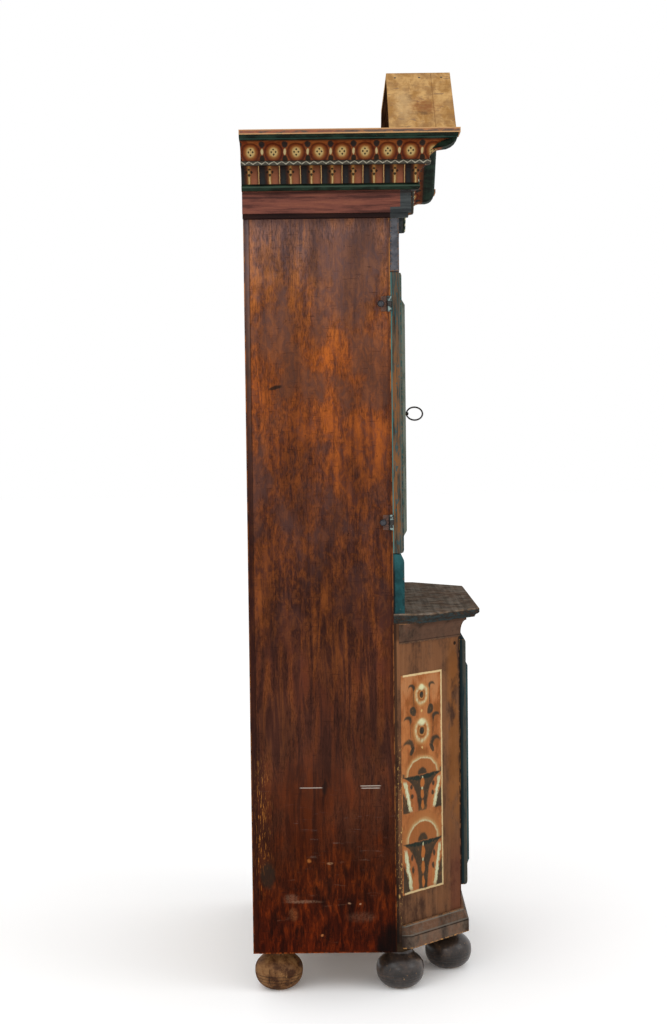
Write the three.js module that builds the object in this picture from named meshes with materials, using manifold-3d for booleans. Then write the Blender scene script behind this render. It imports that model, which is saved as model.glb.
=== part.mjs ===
// A tall painted folk cupboard with a canted base, bun feet, a ledge at waist height,
// a pair of upper doors, one lower door and a painted cornice that is raised across the front.
// Millimetres. X is the width, the front faces -Y, Z is up, and the floor is z = 0.
import * as THREE from 'three';
import { mergeVertices } from 'three/addons/utils/BufferGeometryUtils.js';
import Module from 'manifold-3d';

const wasm = await Module();
wasm.setup();

// Clearances
const joint_gap = 0.3;      // between pieces that touch
const running_gap = 1;      // round pieces that slide or turn
const door_gap = 2;         // round the doors
const mitre_overlap = 0.05;    // inside a glued mitre
const cut_overrun = 4;      // how far a cut runs past the face it opens

// Carcass
const carcass_width = 860;
const side_depth = 350;
const side_thickness = 28;
const foot_height = 98;
const bottom_thickness = 24;
const shelf_thickness = 20;
const back_thickness = 18;
const back_board_count = 4;
const back_groove = 4;
const ledge_top = 926;
const ledge_thickness = 24;
const lower_shelf_height = 400;       // above the bottom board
const shelf_spacing = 265;            // from the ledge up to each upper shelf
const first_shelf_height = 330;

// Canted base
const cant_setback = 12;              // straight strip before the cant starts
const cant_run = 156;
const base_thickness = 26;
const base_stile_width = 36;
const base_bottom_rail_height = 118;
const base_top_rail_height = 84;
const ledge_overhang = 50;
const ledge_nosing_thickness = 15;
const ledge_nosing_setback = 9;
const ledge_edge_round = 3;
const cove_height = 50;
const cove_top_projection = 18;
const cove_bottom_projection = 3;
const cove_fillet = 8;
const plinth_height = 58;
const plinth_lift = 8;                // above the side boards' lower ends
const plinth_projection = 18;
const plinth_step_height = 30;
const plinth_step = 6;

// Bun feet
const foot_radius = 58;
const foot_tenon_radius = 12;
const foot_tenon_length = 20;
const foot_side_inset = 55;
const rear_foot_inset = 60;
const middle_foot_advance = 9;        // in front of the side board's edge
const front_foot_setback = 31;        // behind the base front
const front_foot_inset = 54;          // from the corner of the base front
const foot_profile_shares = [
  [0, 0], [0.5, 0], [0.76, 0.06], [0.93, 0.2], [1, 0.42], [0.97, 0.6],
  [0.84, 0.76], [0.7, 0.84], [0.62, 0.88], [0.62, 0.93], [0.68, 0.96], [0.68, 1],
];
const foot_segments = 32;

// Upper front
const waist_rail_height = 144;
const waist_rail_thickness = 27;
const waist_round = 20;
const upper_door_height = 674;
const upper_door_thickness = 27;
const door_stile_width = 74;
const door_rail_height = 84;
const door_edge_round = 7;
const raised_top_inset = 60;          // from the door's top edge to the raised layer
const raised_side_inset = 46;
const raised_bottom_inset = 37;
const raised_height = 9;
const raised_bevel = 14;
const raised_band = 24;
const field_drop = 6;
const panel_thickness = 14;
const frieze_thickness = 22;

// Lower door
const lower_door_side_lap = 14;       // over the frame's inner edges
const lower_door_end_lap = 23.3;
const lower_door_thickness = 18;
const lower_raised_height = 8;

// Cornice members, from the bottom up
const band_height = 11;
const band_projection = 22;
const fascia_height = 50;
const fascia_projection = 29;
const torus_height = 16;
const torus_run = 16;
const torus_bulge = 5;
const bracket_cove_height = 41;
const bracket_cove_run = 25;
const rope_radius = 5;
const frieze_cove_height = 23;
const frieze_cove_run = 29;
const ovolo_height = 28;
const ovolo_run = 37;
const side_cove_height = 40;           // the returns have a deeper frieze cove and a small ovolo
const side_cove_run = 45;
const crown_backing = 38;             // thickness of the crown at its top
const cornice_bottom = 1875;
const arc_steps = 5;
const cap_thickness = 11;
const cap_overhang = 4;
const crest_rise = 186;
const crest_slope_run = 240;
const crest_end_length = 73;          // level part of the nose at each end
const crest_cap_setback = 0;

// Hinges
const knuckle_radius = 5.5;
const pin_radius = 2.8;
const barrel_height = 37;
const leaf_thickness = 2.7;
const leaf_length = 66;
const hinge_plate_thickness = 3;
const hinge_knob_radius = 8.5;
const hinge_knob_distance = 20;       // behind the hinge pin
const upper_hinge_inset = 75;         // barrel centre from the door's ends
const lower_hinge_inset = 90;
const hinge_segments = 20;

// Locks and key
const lock_width = 70;
const lock_height = 76;
const lock_depth = 20;
const lock_wall = 2.5;
const lock_edge_inset = 5;            // from the door's free edge
const key_height = 339;               // above the upper door's bottom edge
const lower_lock_setback = 3.5;        // from the doorway's side, so that the case swings clear
const key_offset = 25;                // from the lock case's edge
const lower_key_height = 330;
const bolt_length = 44;
const bolt_height = 14;
const bolt_thickness = 9;
const bolt_rise = 8;                  // above the key's axis
const bolt_throw = 16;
const keeper_width = 16;
const keeper_inset = 3;
const keeper_wall = 4;
const keyhole_radius = 5.5;
const keyhole_slot_width = 5;
const keyhole_slot_length = 17;
const shank_radius = 3.5;
const key_reach = 71;                 // from the door's face to the end of the bow
const bow_radius = 21.3;
const bow_wire_radius = 2.2;
const collar_radius = 7;
const collar_length = 14;
const bit_length = 15;
const bit_width = 5;
const bit_thickness = 3;
const bow_tilt = THREE.MathUtils.degToRad(36);

// Places that follow
const half_width = carcass_width / 2;
const base_advance = cant_setback + cant_run;
const total_depth = side_depth + base_advance + ledge_overhang;
const rear_y = total_depth / 2;
const side_front_y = rear_y - side_depth;
const base_front_y = side_front_y - base_advance;
const base_half_front = half_width - cant_run;
const inner_half = half_width - side_thickness - joint_gap;
const back_front_y = rear_y - back_thickness;
const shelf_rear_y = back_front_y - joint_gap;
const floor_z = foot_height + bottom_thickness;
const ledge_bottom = ledge_top - ledge_thickness;
const frieze_face_y = side_front_y - frieze_thickness;
const upper_door_bottom = ledge_top + joint_gap + waist_rail_height + door_gap;
const upper_door_top = upper_door_bottom + upper_door_height;
const base_bottom = floor_z + joint_gap;
const base_top = ledge_bottom - joint_gap;
const stile_inner_x = base_half_front - base_stile_width;
const lower_half = stile_inner_x + lower_door_side_lap;
const lower_door_bottom = base_bottom + base_bottom_rail_height - lower_door_end_lap;
const lower_door_top = base_top - base_top_rail_height + lower_door_end_lap;
const door_back_y = side_front_y - joint_gap;
const upper_door_face_y = door_back_y - upper_door_thickness;
const lower_door_back_y = base_front_y - joint_gap;
const lower_door_face_y = lower_door_back_y - lower_door_thickness;
const rope_height = 2 * rope_radius;
const crown_height = band_height + fascia_height + torus_height + bracket_cove_height
  + rope_height + frieze_cove_height + ovolo_height;
const crown_projection = fascia_projection + torus_run + bracket_cove_run + frieze_cove_run + ovolo_run;
const crown_top = cornice_bottom + crown_height;
const crest_angle = Math.atan2(crest_rise, crest_slope_run);
const crest_foot_x = -(half_width + crown_projection - crest_end_length);
const crest_head_x = crest_foot_x + crest_slope_run;
const half_cant_tangent = Math.tan(Math.PI / 8);

const wood = (color, roughness) => new THREE.MeshStandardMaterial({ color, roughness, metalness: 0 });
const brown_varnish = wood(0x5a2418, 0.4);
const cornice_green = wood(0x1f2e24, 0.5);
const terracotta = wood(0xa85a34, 0.6);
const bare_pine = wood(0xb98a4e, 0.75);
const raw_back = wood(0x8a6238, 0.85);
const teal_paint = wood(0x12464a, 0.5);
const door_green = wood(0x4a5a50, 0.55);
const door_blue = wood(0x16323a, 0.5);
const ledge_brown = wood(0x4a3a2c, 0.5);
const canted_brown = wood(0x6a3c20, 0.5);
const foot_brown = wood(0x3a1c10, 0.3);
const iron = new THREE.MeshStandardMaterial({ color: 0x1c1a18, roughness: 0.6, metalness: 0.8 });

const group = new THREE.Group();

function add(name, geometry, material, position = [0, 0, 0]) {
  const mesh = new THREE.Mesh(geometry, material);
  mesh.name = name;
  mesh.position.set(...position);
  group.add(mesh);
  return mesh;
}

// Closed meshes to solids and back, for the cuts.
function solid_of(geometry) {
  const bare = geometry.clone();
  bare.deleteAttribute('normal');
  bare.deleteAttribute('uv');
  const merged = mergeVertices(bare);
  return new wasm.Manifold(new wasm.Mesh({
    numProp: 3,
    vertProperties: new Float32Array(merged.attributes.position.array),
    triVerts: new Uint32Array(merged.index.array),
  }));
}

function geometry_of(solid) {
  const mesh = solid.getMesh();
  const geometry = new THREE.BufferGeometry();
  geometry.setAttribute('position', new THREE.BufferAttribute(new Float32Array(mesh.vertProperties), mesh.numProp));
  geometry.setIndex(new THREE.BufferAttribute(new Uint32Array(mesh.triVerts), 1));
  geometry.computeVertexNormals();
  return geometry;
}

function cut(geometry, ...tools) {
  return geometry_of(tools.reduce((solid, tool) => solid.subtract(solid_of(tool)), solid_of(geometry)));
}

function join(geometry, ...others) {
  return geometry_of(others.reduce((solid, other) => solid.add(solid_of(other)), solid_of(geometry)));
}

// Cuts away everything beyond a plane through point, on the side that normal points to.
function trim(geometry, point, normal) {
  const reach = 2 * (carcass_width + cornice_bottom);
  const block = new THREE.BoxGeometry(reach, reach, reach);
  block.translate(0, 0, reach / 2);
  block.applyQuaternion(new THREE.Quaternion().setFromUnitVectors(
    new THREE.Vector3(0, 0, 1),
    new THREE.Vector3(...normal).normalize(),
  ));
  block.translate(...point);
  return cut(geometry, block);
}

function box(x0, x1, y0, y1, z0, z1) {
  const geometry = new THREE.BoxGeometry(x1 - x0, y1 - y0, z1 - z0);
  geometry.translate((x0 + x1) / 2, (y0 + y1) / 2, (z0 + z1) / 2);
  return geometry;
}

// A cylinder along one axis, centred on the given point.
function rod(axis, radius, length, centre, segments = hinge_segments) {
  const geometry = new THREE.CylinderGeometry(radius, radius, length, segments);
  if (axis === 'z') geometry.rotateX(Math.PI / 2);
  if (axis === 'x') geometry.rotateZ(Math.PI / 2);
  geometry.translate(...centre);
  return geometry;
}

function shape_of(points) {
  return new THREE.Shape(points.map(([x, y]) => new THREE.Vector2(x, y)));
}

// A board seen from above, between two heights.
function plan_board(points, z0, z1) {
  const geometry = new THREE.ExtrudeGeometry(shape_of(points), { depth: z1 - z0, bevelEnabled: false });
  geometry.translate(0, 0, z0);
  return geometry;
}

// A board seen from the front, between two depths.
function front_board(points, y0, y1) {
  const geometry = new THREE.ExtrudeGeometry(shape_of(points), { depth: y1 - y0, bevelEnabled: false });
  geometry.rotateX(Math.PI / 2);
  geometry.translate(0, y1, 0);
  return geometry;
}

// A moulding: a section given as [outwards, upwards], run along a line.
function run_moulding(section, start, outwards, upwards, length) {
  const geometry = new THREE.ExtrudeGeometry(shape_of(section), { depth: length, bevelEnabled: false });
  const out = new THREE.Vector3(...outwards);
  const up = new THREE.Vector3(...upwards);
  geometry.applyMatrix4(new THREE.Matrix4().makeBasis(out, up, new THREE.Vector3().crossVectors(out, up)));
  geometry.translate(...start);
  return geometry;
}

// The same piece on the other side of the cupboard.
function mirrored(geometry) {
  const other = geometry.index ? geometry.toNonIndexed() : geometry.clone();
  other.scale(-1, 1, 1);
  const position = other.attributes.position;
  const a = new THREE.Vector3();
  const b = new THREE.Vector3();
  for (let i = 0; i < position.count; i += 3) {
    a.fromBufferAttribute(position, i);
    b.fromBufferAttribute(position, i + 1);
    position.setXYZ(i, b.x, b.y, b.z);
    position.setXYZ(i + 1, a.x, a.y, a.z);
  }
  other.computeVertexNormals();
  return other;
}

function add_pair(name, left_geometry, material) {
  add(`${name}_left`, left_geometry, material);
  add(`${name}_right`, mirrored(left_geometry), material);
}

// A body stacked from rings with the same number of corners.
function stacked(rings) {
  const corners = rings[0].length;
  const indices = [];
  rings.slice(1).forEach((ring, r) => {
    for (let i = 0; i < corners; i += 1) {
      const a = r * corners + i;
      const b = r * corners + (i + 1) % corners;
      indices.push(a, b, b + corners, a, b + corners, a + corners);
    }
  });
  const top = (rings.length - 1) * corners;
  for (let i = 1; i < corners - 1; i += 1) {
    indices.push(0, i + 1, i, top, top + i, top + i + 1);
  }
  const geometry = new THREE.BufferGeometry();
  geometry.setAttribute('position', new THREE.Float32BufferAttribute(rings.flat(2), 3));
  geometry.setIndex(indices);
  geometry.computeVertexNormals();
  return geometry;
}

function arc(centre_out, centre_up, radius_out, radius_up, from, to) {
  return Array.from({ length: arc_steps + 1 }, (_, i) => {
    const angle = from + (to - from) * i / arc_steps;
    return [centre_out + radius_out * Math.cos(angle), centre_up + radius_up * Math.sin(angle)];
  });
}

// Outline of the canted base, moved outwards by an offset and cut flush with the side boards.
function base_outline(offset) {
  const start_y = side_front_y - cant_setback - offset * Math.SQRT2;
  const corner_x = base_half_front + offset * half_cant_tangent;
  return [[-half_width, start_y], [-corner_x, base_front_y - offset],
    [corner_x, base_front_y - offset], [half_width, start_y]];
}

// Carcass
add('side_board_left', new THREE.BoxGeometry(side_thickness, side_depth, crown_top - joint_gap - foot_height),
  brown_varnish, [-half_width + side_thickness / 2, side_front_y + side_depth / 2,
    (crown_top - joint_gap + foot_height) / 2]);
add('side_board_right', new THREE.BoxGeometry(side_thickness, side_depth, crown_top - joint_gap - foot_height),
  brown_varnish, [half_width - side_thickness / 2, side_front_y + side_depth / 2,
    (crown_top - joint_gap + foot_height) / 2]);

// Back: upright boards, tongued and glued, with a groove showing at each joint
const back_pitch = 2 * inner_half / back_board_count;
const back_grooves = Array.from({ length: back_board_count - 1 }, (_, i) => {
  const groove = new THREE.BoxGeometry(back_groove, back_groove, crown_top);
  groove.rotateZ(Math.PI / 4);
  groove.translate(-inner_half + (i + 1) * back_pitch, rear_y, crown_top / 2);
  return groove;
});
add('back_panel', cut(box(-inner_half, inner_half, back_front_y, rear_y, foot_height, crown_top - joint_gap),
  ...back_grooves), raw_back);

const feet = [
  ['foot_rear', half_width - foot_side_inset, rear_y - rear_foot_inset],
  ['foot_middle', half_width - foot_side_inset, side_front_y - middle_foot_advance],
  ['foot_front', base_half_front - front_foot_inset, base_front_y + front_foot_setback],
];
const bottom_outline = [
  [-inner_half, shelf_rear_y], [-inner_half, side_front_y - joint_gap],
  [-half_width, side_front_y - joint_gap], ...base_outline(0),
  [half_width, side_front_y - joint_gap], [inner_half, side_front_y - joint_gap], [inner_half, shelf_rear_y],
];
const tenon_holes = feet.flatMap(([, x, y]) => [-x, x].map((side_x) => rod(
  'z', foot_tenon_radius + joint_gap, foot_tenon_length + cut_overrun,
  [side_x, y, foot_height + (foot_tenon_length - cut_overrun) / 2 + joint_gap],
)));
add('bottom_board', cut(plan_board(bottom_outline, foot_height, floor_z), ...tenon_holes), raw_back);

function add_shelf(name, z0, thickness, front_y) {
  add(name, new THREE.BoxGeometry(2 * inner_half, shelf_rear_y - front_y, thickness), raw_back,
    [0, (shelf_rear_y + front_y) / 2, z0 + thickness / 2]);
}
add_shelf('lower_shelf', floor_z + lower_shelf_height, shelf_thickness, side_front_y);
add_shelf('upper_shelf_low', ledge_top + first_shelf_height, shelf_thickness, side_front_y + lock_depth + bolt_throw);
add_shelf('upper_shelf_high', ledge_top + first_shelf_height + shelf_spacing, shelf_thickness,
  side_front_y + lock_depth + bolt_throw);
add_shelf('top_board', crown_top - joint_gap - bottom_thickness, bottom_thickness, side_front_y + joint_gap);

// Feet, turned, each with a tenon in the bottom board
const foot_profile = foot_profile_shares.map(([r, z]) => new THREE.Vector2(
  r * foot_radius, z * (foot_height - joint_gap),
));
foot_profile.push(
  new THREE.Vector2(foot_tenon_radius, foot_height - joint_gap),
  new THREE.Vector2(foot_tenon_radius, foot_height + foot_tenon_length - joint_gap),
  new THREE.Vector2(0, foot_height + foot_tenon_length - joint_gap),
);
const foot = new THREE.LatheGeometry(foot_profile, foot_segments).rotateX(Math.PI / 2);
feet.forEach(([name, x, y]) => {
  add(`${name}_left`, foot.clone(), foot_brown, [-x, y, 0]);
  add(`${name}_right`, foot.clone(), foot_brown, [x, y, 0]);
});

// Canted base: two canted boards and a front frame of stiles and rails
const cant_inner_line = side_front_y - cant_setback - half_width + base_thickness * Math.SQRT2;
const cant_heel_y = side_front_y - joint_gap;
const inner_corner_x = -base_half_front + base_thickness * half_cant_tangent;
const mitre_gap = joint_gap / 2;
add_pair('canted_board', plan_board([
  [-half_width, side_front_y - cant_setback], [-base_half_front - mitre_gap, base_front_y + mitre_gap],
  [inner_corner_x - mitre_gap, base_front_y + base_thickness + mitre_gap],
  [cant_inner_line - cant_heel_y, cant_heel_y], [-half_width, cant_heel_y],
], base_bottom, base_top), canted_brown);

const lower_lock_x = -stile_inner_x + lower_lock_setback;
const lower_key_x = lower_lock_x + key_offset;
const lower_key_z = lower_door_bottom + lower_key_height;
// Deep enough for the bolt to catch behind the stile
const lower_lock_depth = base_thickness + joint_gap + running_gap + bolt_thickness + lock_wall;
const base_front = plan_board([
  [-base_half_front + mitre_gap, base_front_y], [base_half_front - mitre_gap, base_front_y],
  [-inner_corner_x - mitre_gap, base_front_y + base_thickness],
  [inner_corner_x + mitre_gap, base_front_y + base_thickness],
], base_bottom, base_top);
const base_doorway = box(-stile_inner_x, stile_inner_x, base_front_y - cut_overrun,
  base_front_y + base_thickness + cut_overrun,
  base_bottom + base_bottom_rail_height, base_top - base_top_rail_height);
add('base_frame', cut(base_front, base_doorway), canted_brown);

// Mouldings round the canted base, mitred at the corners and flush with the sides
function add_base_moulding(name, section, z0, material) {
  const face = joint_gap;
  const points = section.map(([out, up]) => [out + face, up]);
  const front = run_moulding(points, [half_width, base_front_y, z0], [0, -1, 0], [0, 0, 1], carcass_width);
  const mitre = [Math.sin(Math.PI / 8), 0];
  const left_normal = [-Math.cos(Math.PI / 8), mitre[0], 0];
  const right_normal = [Math.cos(Math.PI / 8), mitre[0], 0];
  const corner_left = [-base_half_front + mitre_gap, base_front_y, z0];
  const corner_right = [base_half_front - mitre_gap, base_front_y, z0];
  add(`${name}_front`, trim(trim(front, corner_left, left_normal), corner_right, right_normal), material);
  const out = [-Math.SQRT1_2, -Math.SQRT1_2, 0];
  const length = 2 * cant_run * Math.SQRT2;
  const along = [-Math.SQRT1_2 * length / 4, Math.SQRT1_2 * length / 4];
  const start = [-base_half_front - along[0], base_front_y - along[1], z0];
  const cant = run_moulding(points, start, out, [0, 0, 1], length);
  const inner = trim(cant, [-base_half_front - mitre_gap, base_front_y, z0],
    left_normal.map((value) => -value));
  add_pair(`${name}`, trim(inner, [-half_width, 0, 0], [-1, 0, 0]), material);
}

const plinth_upper = plinth_height - plinth_step_height - plinth_step;
add_base_moulding('base_moulding', [
  [0, 0], [plinth_projection, 0], [plinth_projection, plinth_step_height],
  [plinth_projection - plinth_step, plinth_step_height + plinth_step],
  [plinth_step, plinth_step_height + plinth_step + plinth_upper / 2], [plinth_step, plinth_height], [0, plinth_height],
], foot_height + plinth_lift, canted_brown);

const cove_bottom = base_top - cove_height;
add_base_moulding('ledge_cove', [
  [0, 0], [cove_bottom_projection, 0], [cove_bottom_projection, cove_fillet],
  ...arc(cove_top_projection, cove_fillet, cove_top_projection - cove_bottom_projection - joint_gap,
    cove_height - 2 * cove_fillet, Math.PI, Math.PI / 2),
  [cove_top_projection, cove_height], [0, cove_height],
], cove_bottom, canted_brown);

// Ledge board with a nosed edge, which runs on between the sides as the floor of the upper part
const ledge_rear_y = side_front_y - joint_gap;
function ledge_ring(offset, z) {
  return [[-half_width, ledge_rear_y], ...base_outline(offset), [half_width, ledge_rear_y]].map(([x, y]) => [x, y, z]);
}
const ledge_front = stacked([
  ledge_ring(ledge_overhang - ledge_nosing_setback - ledge_edge_round, ledge_bottom),
  ledge_ring(ledge_overhang - ledge_nosing_setback, ledge_top - ledge_nosing_thickness - ledge_edge_round),
  ledge_ring(ledge_overhang - ledge_edge_round, ledge_top - ledge_nosing_thickness),
  ledge_ring(ledge_overhang, ledge_top - ledge_nosing_thickness + ledge_edge_round),
  ledge_ring(ledge_overhang, ledge_top - ledge_edge_round),
  ledge_ring(ledge_overhang - ledge_edge_round, ledge_top),
]);
const ledge_inside = box(-inner_half, inner_half, ledge_rear_y - cut_overrun, shelf_rear_y, ledge_bottom, ledge_top);
add('ledge_board', join(ledge_front, ledge_inside), ledge_brown);

// Waist rail with a rounded top edge
const waist_bottom = ledge_top + joint_gap;
add('waist_rail', run_moulding([
  [0, 0], [waist_rail_thickness, 0], [waist_rail_thickness, waist_rail_height - waist_round],
  ...arc(waist_rail_thickness - waist_round, waist_rail_height - waist_round, waist_round, waist_round, 0,
    Math.PI / 2).slice(1),
  [0, waist_rail_height],
], [half_width, side_front_y - joint_gap, waist_bottom], [0, -1, 0], [0, 0, 1], carcass_width), teal_paint);

// Frieze board: fills the front above the doors, up under the raised cornice
const frieze_back_y = side_front_y - joint_gap;
const frieze_end_z = crown_top + (-half_width - crest_foot_x) * Math.tan(crest_angle) - joint_gap;
const frieze_head_z = crown_top + crest_rise - joint_gap;
add('frieze_board', front_board([
  [-half_width, upper_door_top + door_gap], [half_width, upper_door_top + door_gap],
  [half_width, frieze_end_z], [-crest_head_x, frieze_head_z], [crest_head_x, frieze_head_z],
  [-half_width, frieze_end_z],
], frieze_face_y, frieze_back_y), teal_paint);

// Cornice: one section for the level corners, the slopes and the raised centre, and one for the returns
const fascia_top = band_height + fascia_height;
const torus_top = fascia_top + torus_height;
const torus_out = fascia_projection + torus_run - torus_bulge;
const bracket_top = torus_top + bracket_cove_height;
const bracket_out = fascia_projection + torus_run;
const rope_out = bracket_out + bracket_cove_run;
const frieze_low = bracket_top + rope_height;
function crown_section(cove_run, cove_height) {
  const ovolo_out = rope_out + cove_run;
  return [
    [joint_gap, 0], [band_projection, 0], [band_projection, band_height], [fascia_projection, band_height],
    [fascia_projection, fascia_top],
    ...arc(torus_out, fascia_top + torus_height / 2, torus_bulge * 2, torus_height / 2, -Math.PI / 2, Math.PI / 2),
    ...arc(rope_out, torus_top, bracket_cove_run, bracket_cove_height, Math.PI, Math.PI / 2),
    ...arc(rope_out, bracket_top + rope_radius, rope_radius, rope_radius, -Math.PI / 2, Math.PI / 2).slice(1),
    ...arc(ovolo_out, frieze_low, cove_run, cove_height, Math.PI, Math.PI / 2).slice(1),
    ...arc(ovolo_out, crown_height, crown_projection - ovolo_out, crown_height - frieze_low - cove_height,
      -Math.PI / 2, 0).slice(1),
    [crown_projection - crown_backing, crown_height], [joint_gap, fascia_top],
  ];
}
const front_section = crown_section(frieze_cove_run, frieze_cove_height);
const side_section = crown_section(side_cove_run, side_cove_height);
const up_z = [0, 0, 1];
const corner_point = [-half_width, frieze_face_y, 0];
const gap_shift = mitre_gap * Math.SQRT2;
const return_length = rear_y - frieze_face_y + crown_projection;
const crown_return = trim(run_moulding(side_section,
  [-half_width, rear_y - return_length, cornice_bottom], [-1, 0, 0], up_z, return_length),
[corner_point[0], corner_point[1] - mitre_overlap, 0], [1, -1, 0]);
const foot_normal = [Math.cos(crest_angle / 2), 0, Math.sin(crest_angle / 2)];
const foot_shift = [mitre_gap * foot_normal[0], mitre_gap * foot_normal[2]];
const level_run = run_moulding(front_section, [0, frieze_face_y, cornice_bottom], [0, -1, 0], up_z,
  half_width + crown_projection);
const level_corner = trim(trim(level_run, [corner_point[0] - mitre_overlap, corner_point[1], 0], [-1, 1, 0]),
  [crest_foot_x - foot_shift[0], 0, crown_top - foot_shift[1]], foot_normal);
add_pair('cornice_return', join(crown_return, level_corner), cornice_green);

const slope_up = [-Math.sin(crest_angle), 0, Math.cos(crest_angle)];
const slope_along = [Math.cos(crest_angle), 0, Math.sin(crest_angle)];
const slope_length = Math.hypot(crest_rise, crest_slope_run) + 2 * crown_height;
const slope_origin = [crest_head_x, frieze_face_y, crown_top + crest_rise].map((value, i) => value
  - slope_up[i] * crown_height + slope_along[i] * crown_height);
const slope_run = run_moulding(front_section, slope_origin, [0, -1, 0], slope_up, slope_length);
const slope_low = trim(slope_run, [crest_foot_x + foot_shift[0], 0, crown_top + foot_shift[1]],
  foot_normal.map((value) => -value));
const slope_high = trim(slope_low,
  [crest_head_x - foot_shift[0], 0, crown_top + crest_rise - foot_shift[1]], foot_normal);
add_pair('cornice_slope', trim(slope_high, [corner_point[0] + gap_shift, corner_point[1], 0], [-1, 1, 0]),
  cornice_green);

const centre_run = run_moulding(front_section, [half_width, frieze_face_y, cornice_bottom + crest_rise],
  [0, -1, 0], up_z, carcass_width);
const centre_left = trim(centre_run,
  [crest_head_x + foot_shift[0], 0, crown_top + crest_rise + foot_shift[1]],
  foot_normal.map((value) => -value));
add('cornice_centre', trim(centre_left,
  [-crest_head_x - foot_shift[0], 0, crown_top + crest_rise + foot_shift[1]],
  [foot_normal[0], 0, -foot_normal[2]]), cornice_green);

// Cap boards over the cornice
const cap_nose_x = -(half_width + crown_projection + cap_overhang);
const cap_nose_y = frieze_face_y - crown_projection - cap_overhang;
const cap_bottom = crown_top + joint_gap;
add_pair('cap_return', plan_board([
  [cap_nose_x, rear_y], [cap_nose_x, cap_nose_y], [crest_foot_x - joint_gap, cap_nose_y],
  [crest_foot_x - joint_gap, side_front_y + joint_gap], [-half_width + side_thickness, side_front_y + joint_gap],
  [-half_width + side_thickness, rear_y],
], cap_bottom, cap_bottom + cap_thickness), bare_pine);

const cap_face_y = frieze_face_y - crown_projection + crest_cap_setback;
const cap_lift = joint_gap / Math.cos(crest_angle);
const cap_slant = cap_thickness / Math.cos(crest_angle);
const cap_head_shift = (cap_thickness + joint_gap) * Math.tan(crest_angle / 2);
const crest_cap_bottom = crown_top + crest_rise + joint_gap;
add_pair('cap_slope', front_board([
  [crest_foot_x, crown_top + cap_lift],
  [crest_head_x - joint_gap * Math.tan(crest_angle / 2) - joint_gap, crest_cap_bottom - joint_gap * Math.tan(crest_angle)],
  [crest_head_x - cap_head_shift - joint_gap, crest_cap_bottom + cap_thickness - joint_gap * Math.tan(crest_angle)],
  [crest_foot_x, crown_top + cap_lift + cap_slant],
], cap_face_y, frieze_back_y), bare_pine);
add('cap_centre', front_board([
  [crest_head_x, crest_cap_bottom], [-crest_head_x, crest_cap_bottom],
  [-crest_head_x + cap_head_shift, crest_cap_bottom + cap_thickness],
  [crest_head_x - cap_head_shift, crest_cap_bottom + cap_thickness],
], cap_face_y, frieze_back_y), bare_pine);

// Doors: a frame of two stiles and two rails, with a panel whose raised layer covers the frame's inner edge
function keyhole_tool(x, y0, y1, z) {
  const round = rod('y', keyhole_radius, y1 - y0, [x, (y0 + y1) / 2, z]);
  const slot = box(x - keyhole_slot_width / 2, x + keyhole_slot_width / 2, y0, y1, z - keyhole_slot_length, z);
  return join(round, slot);
}

function door_frame(x0, x1, z0, z1, back_y, thickness, cuts) {
  const face_y = back_y - thickness;
  const ring = (y, inset) => [
    [x0 + inset, y, z0 + inset], [x1 - inset, y, z0 + inset], [x1 - inset, y, z1 - inset], [x0 + inset, y, z1 - inset],
  ];
  const turn = door_edge_round * (1 - Math.SQRT1_2);
  const slab = stacked([ring(back_y, 0), ring(face_y + door_edge_round, 0), ring(face_y + turn, turn),
    ring(face_y, door_edge_round)]);
  const opening = box(x0 + door_stile_width, x1 - door_stile_width, face_y - cut_overrun, back_y + cut_overrun,
    z0 + door_rail_height, z1 - door_rail_height);
  return cut(slab, opening, ...cuts);
}

function door_panel(x0, x1, z0, z1, back_y, thickness, raised) {
  const face_y = back_y - thickness - joint_gap;
  const ring = (y, left, right, bottom, top) => [
    [x0 + left, y, z0 + bottom], [x1 - right, y, z0 + bottom], [x1 - right, y, z1 - top], [x0 + left, y, z1 - top],
  ];
  const even = (y, inset) => ring(y, raised_side_inset + inset, raised_side_inset + inset,
    raised_bottom_inset + inset, raised_top_inset + inset);
  const inside = (y) => ring(y, door_stile_width + joint_gap, door_stile_width + joint_gap,
    door_rail_height + joint_gap, door_rail_height + joint_gap);
  return stacked([
    inside(face_y + panel_thickness), inside(face_y), even(face_y, 0), even(face_y - raised, raised_bevel),
    even(face_y - raised, raised_bevel + raised_band),
    even(face_y - raised + field_drop, raised_bevel + raised_band + field_drop),
  ]);
}

const leaf_pocket_depth = leaf_thickness + joint_gap;
const knuckle_height = barrel_height / 3;
function leaf_pocket(x0, x1, back_y, z) {
  return box(x0, x1, back_y - leaf_pocket_depth, back_y + cut_overrun,
    z - knuckle_height / 2 - joint_gap, z + knuckle_height / 2 + joint_gap);
}

const upper_key_z = upper_door_bottom + key_height;
const upper_lock_x = door_gap / 2 + lock_edge_inset;
const upper_key_x = upper_lock_x + key_offset;
const upper_hinge_zs = [upper_door_bottom + upper_hinge_inset, upper_door_top - upper_hinge_inset];
const leaf_tip_x = -half_width + leaf_length;
const left_pockets = upper_hinge_zs.map((z) => leaf_pocket(
  -half_width - cut_overrun, leaf_tip_x + joint_gap, door_back_y, z,
));
const right_pockets = upper_hinge_zs.map((z) => leaf_pocket(
  -leaf_tip_x - joint_gap, half_width + cut_overrun, door_back_y, z,
));
const upper_keyhole = keyhole_tool(upper_key_x, upper_door_face_y - cut_overrun, door_back_y + cut_overrun, upper_key_z);
add('upper_door_frame_left', door_frame(-half_width, -door_gap / 2, upper_door_bottom, upper_door_top,
  door_back_y, upper_door_thickness, left_pockets), door_green);
add('upper_door_frame_right', door_frame(door_gap / 2, half_width, upper_door_bottom, upper_door_top,
  door_back_y, upper_door_thickness, [upper_keyhole, ...right_pockets]), door_green);
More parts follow.
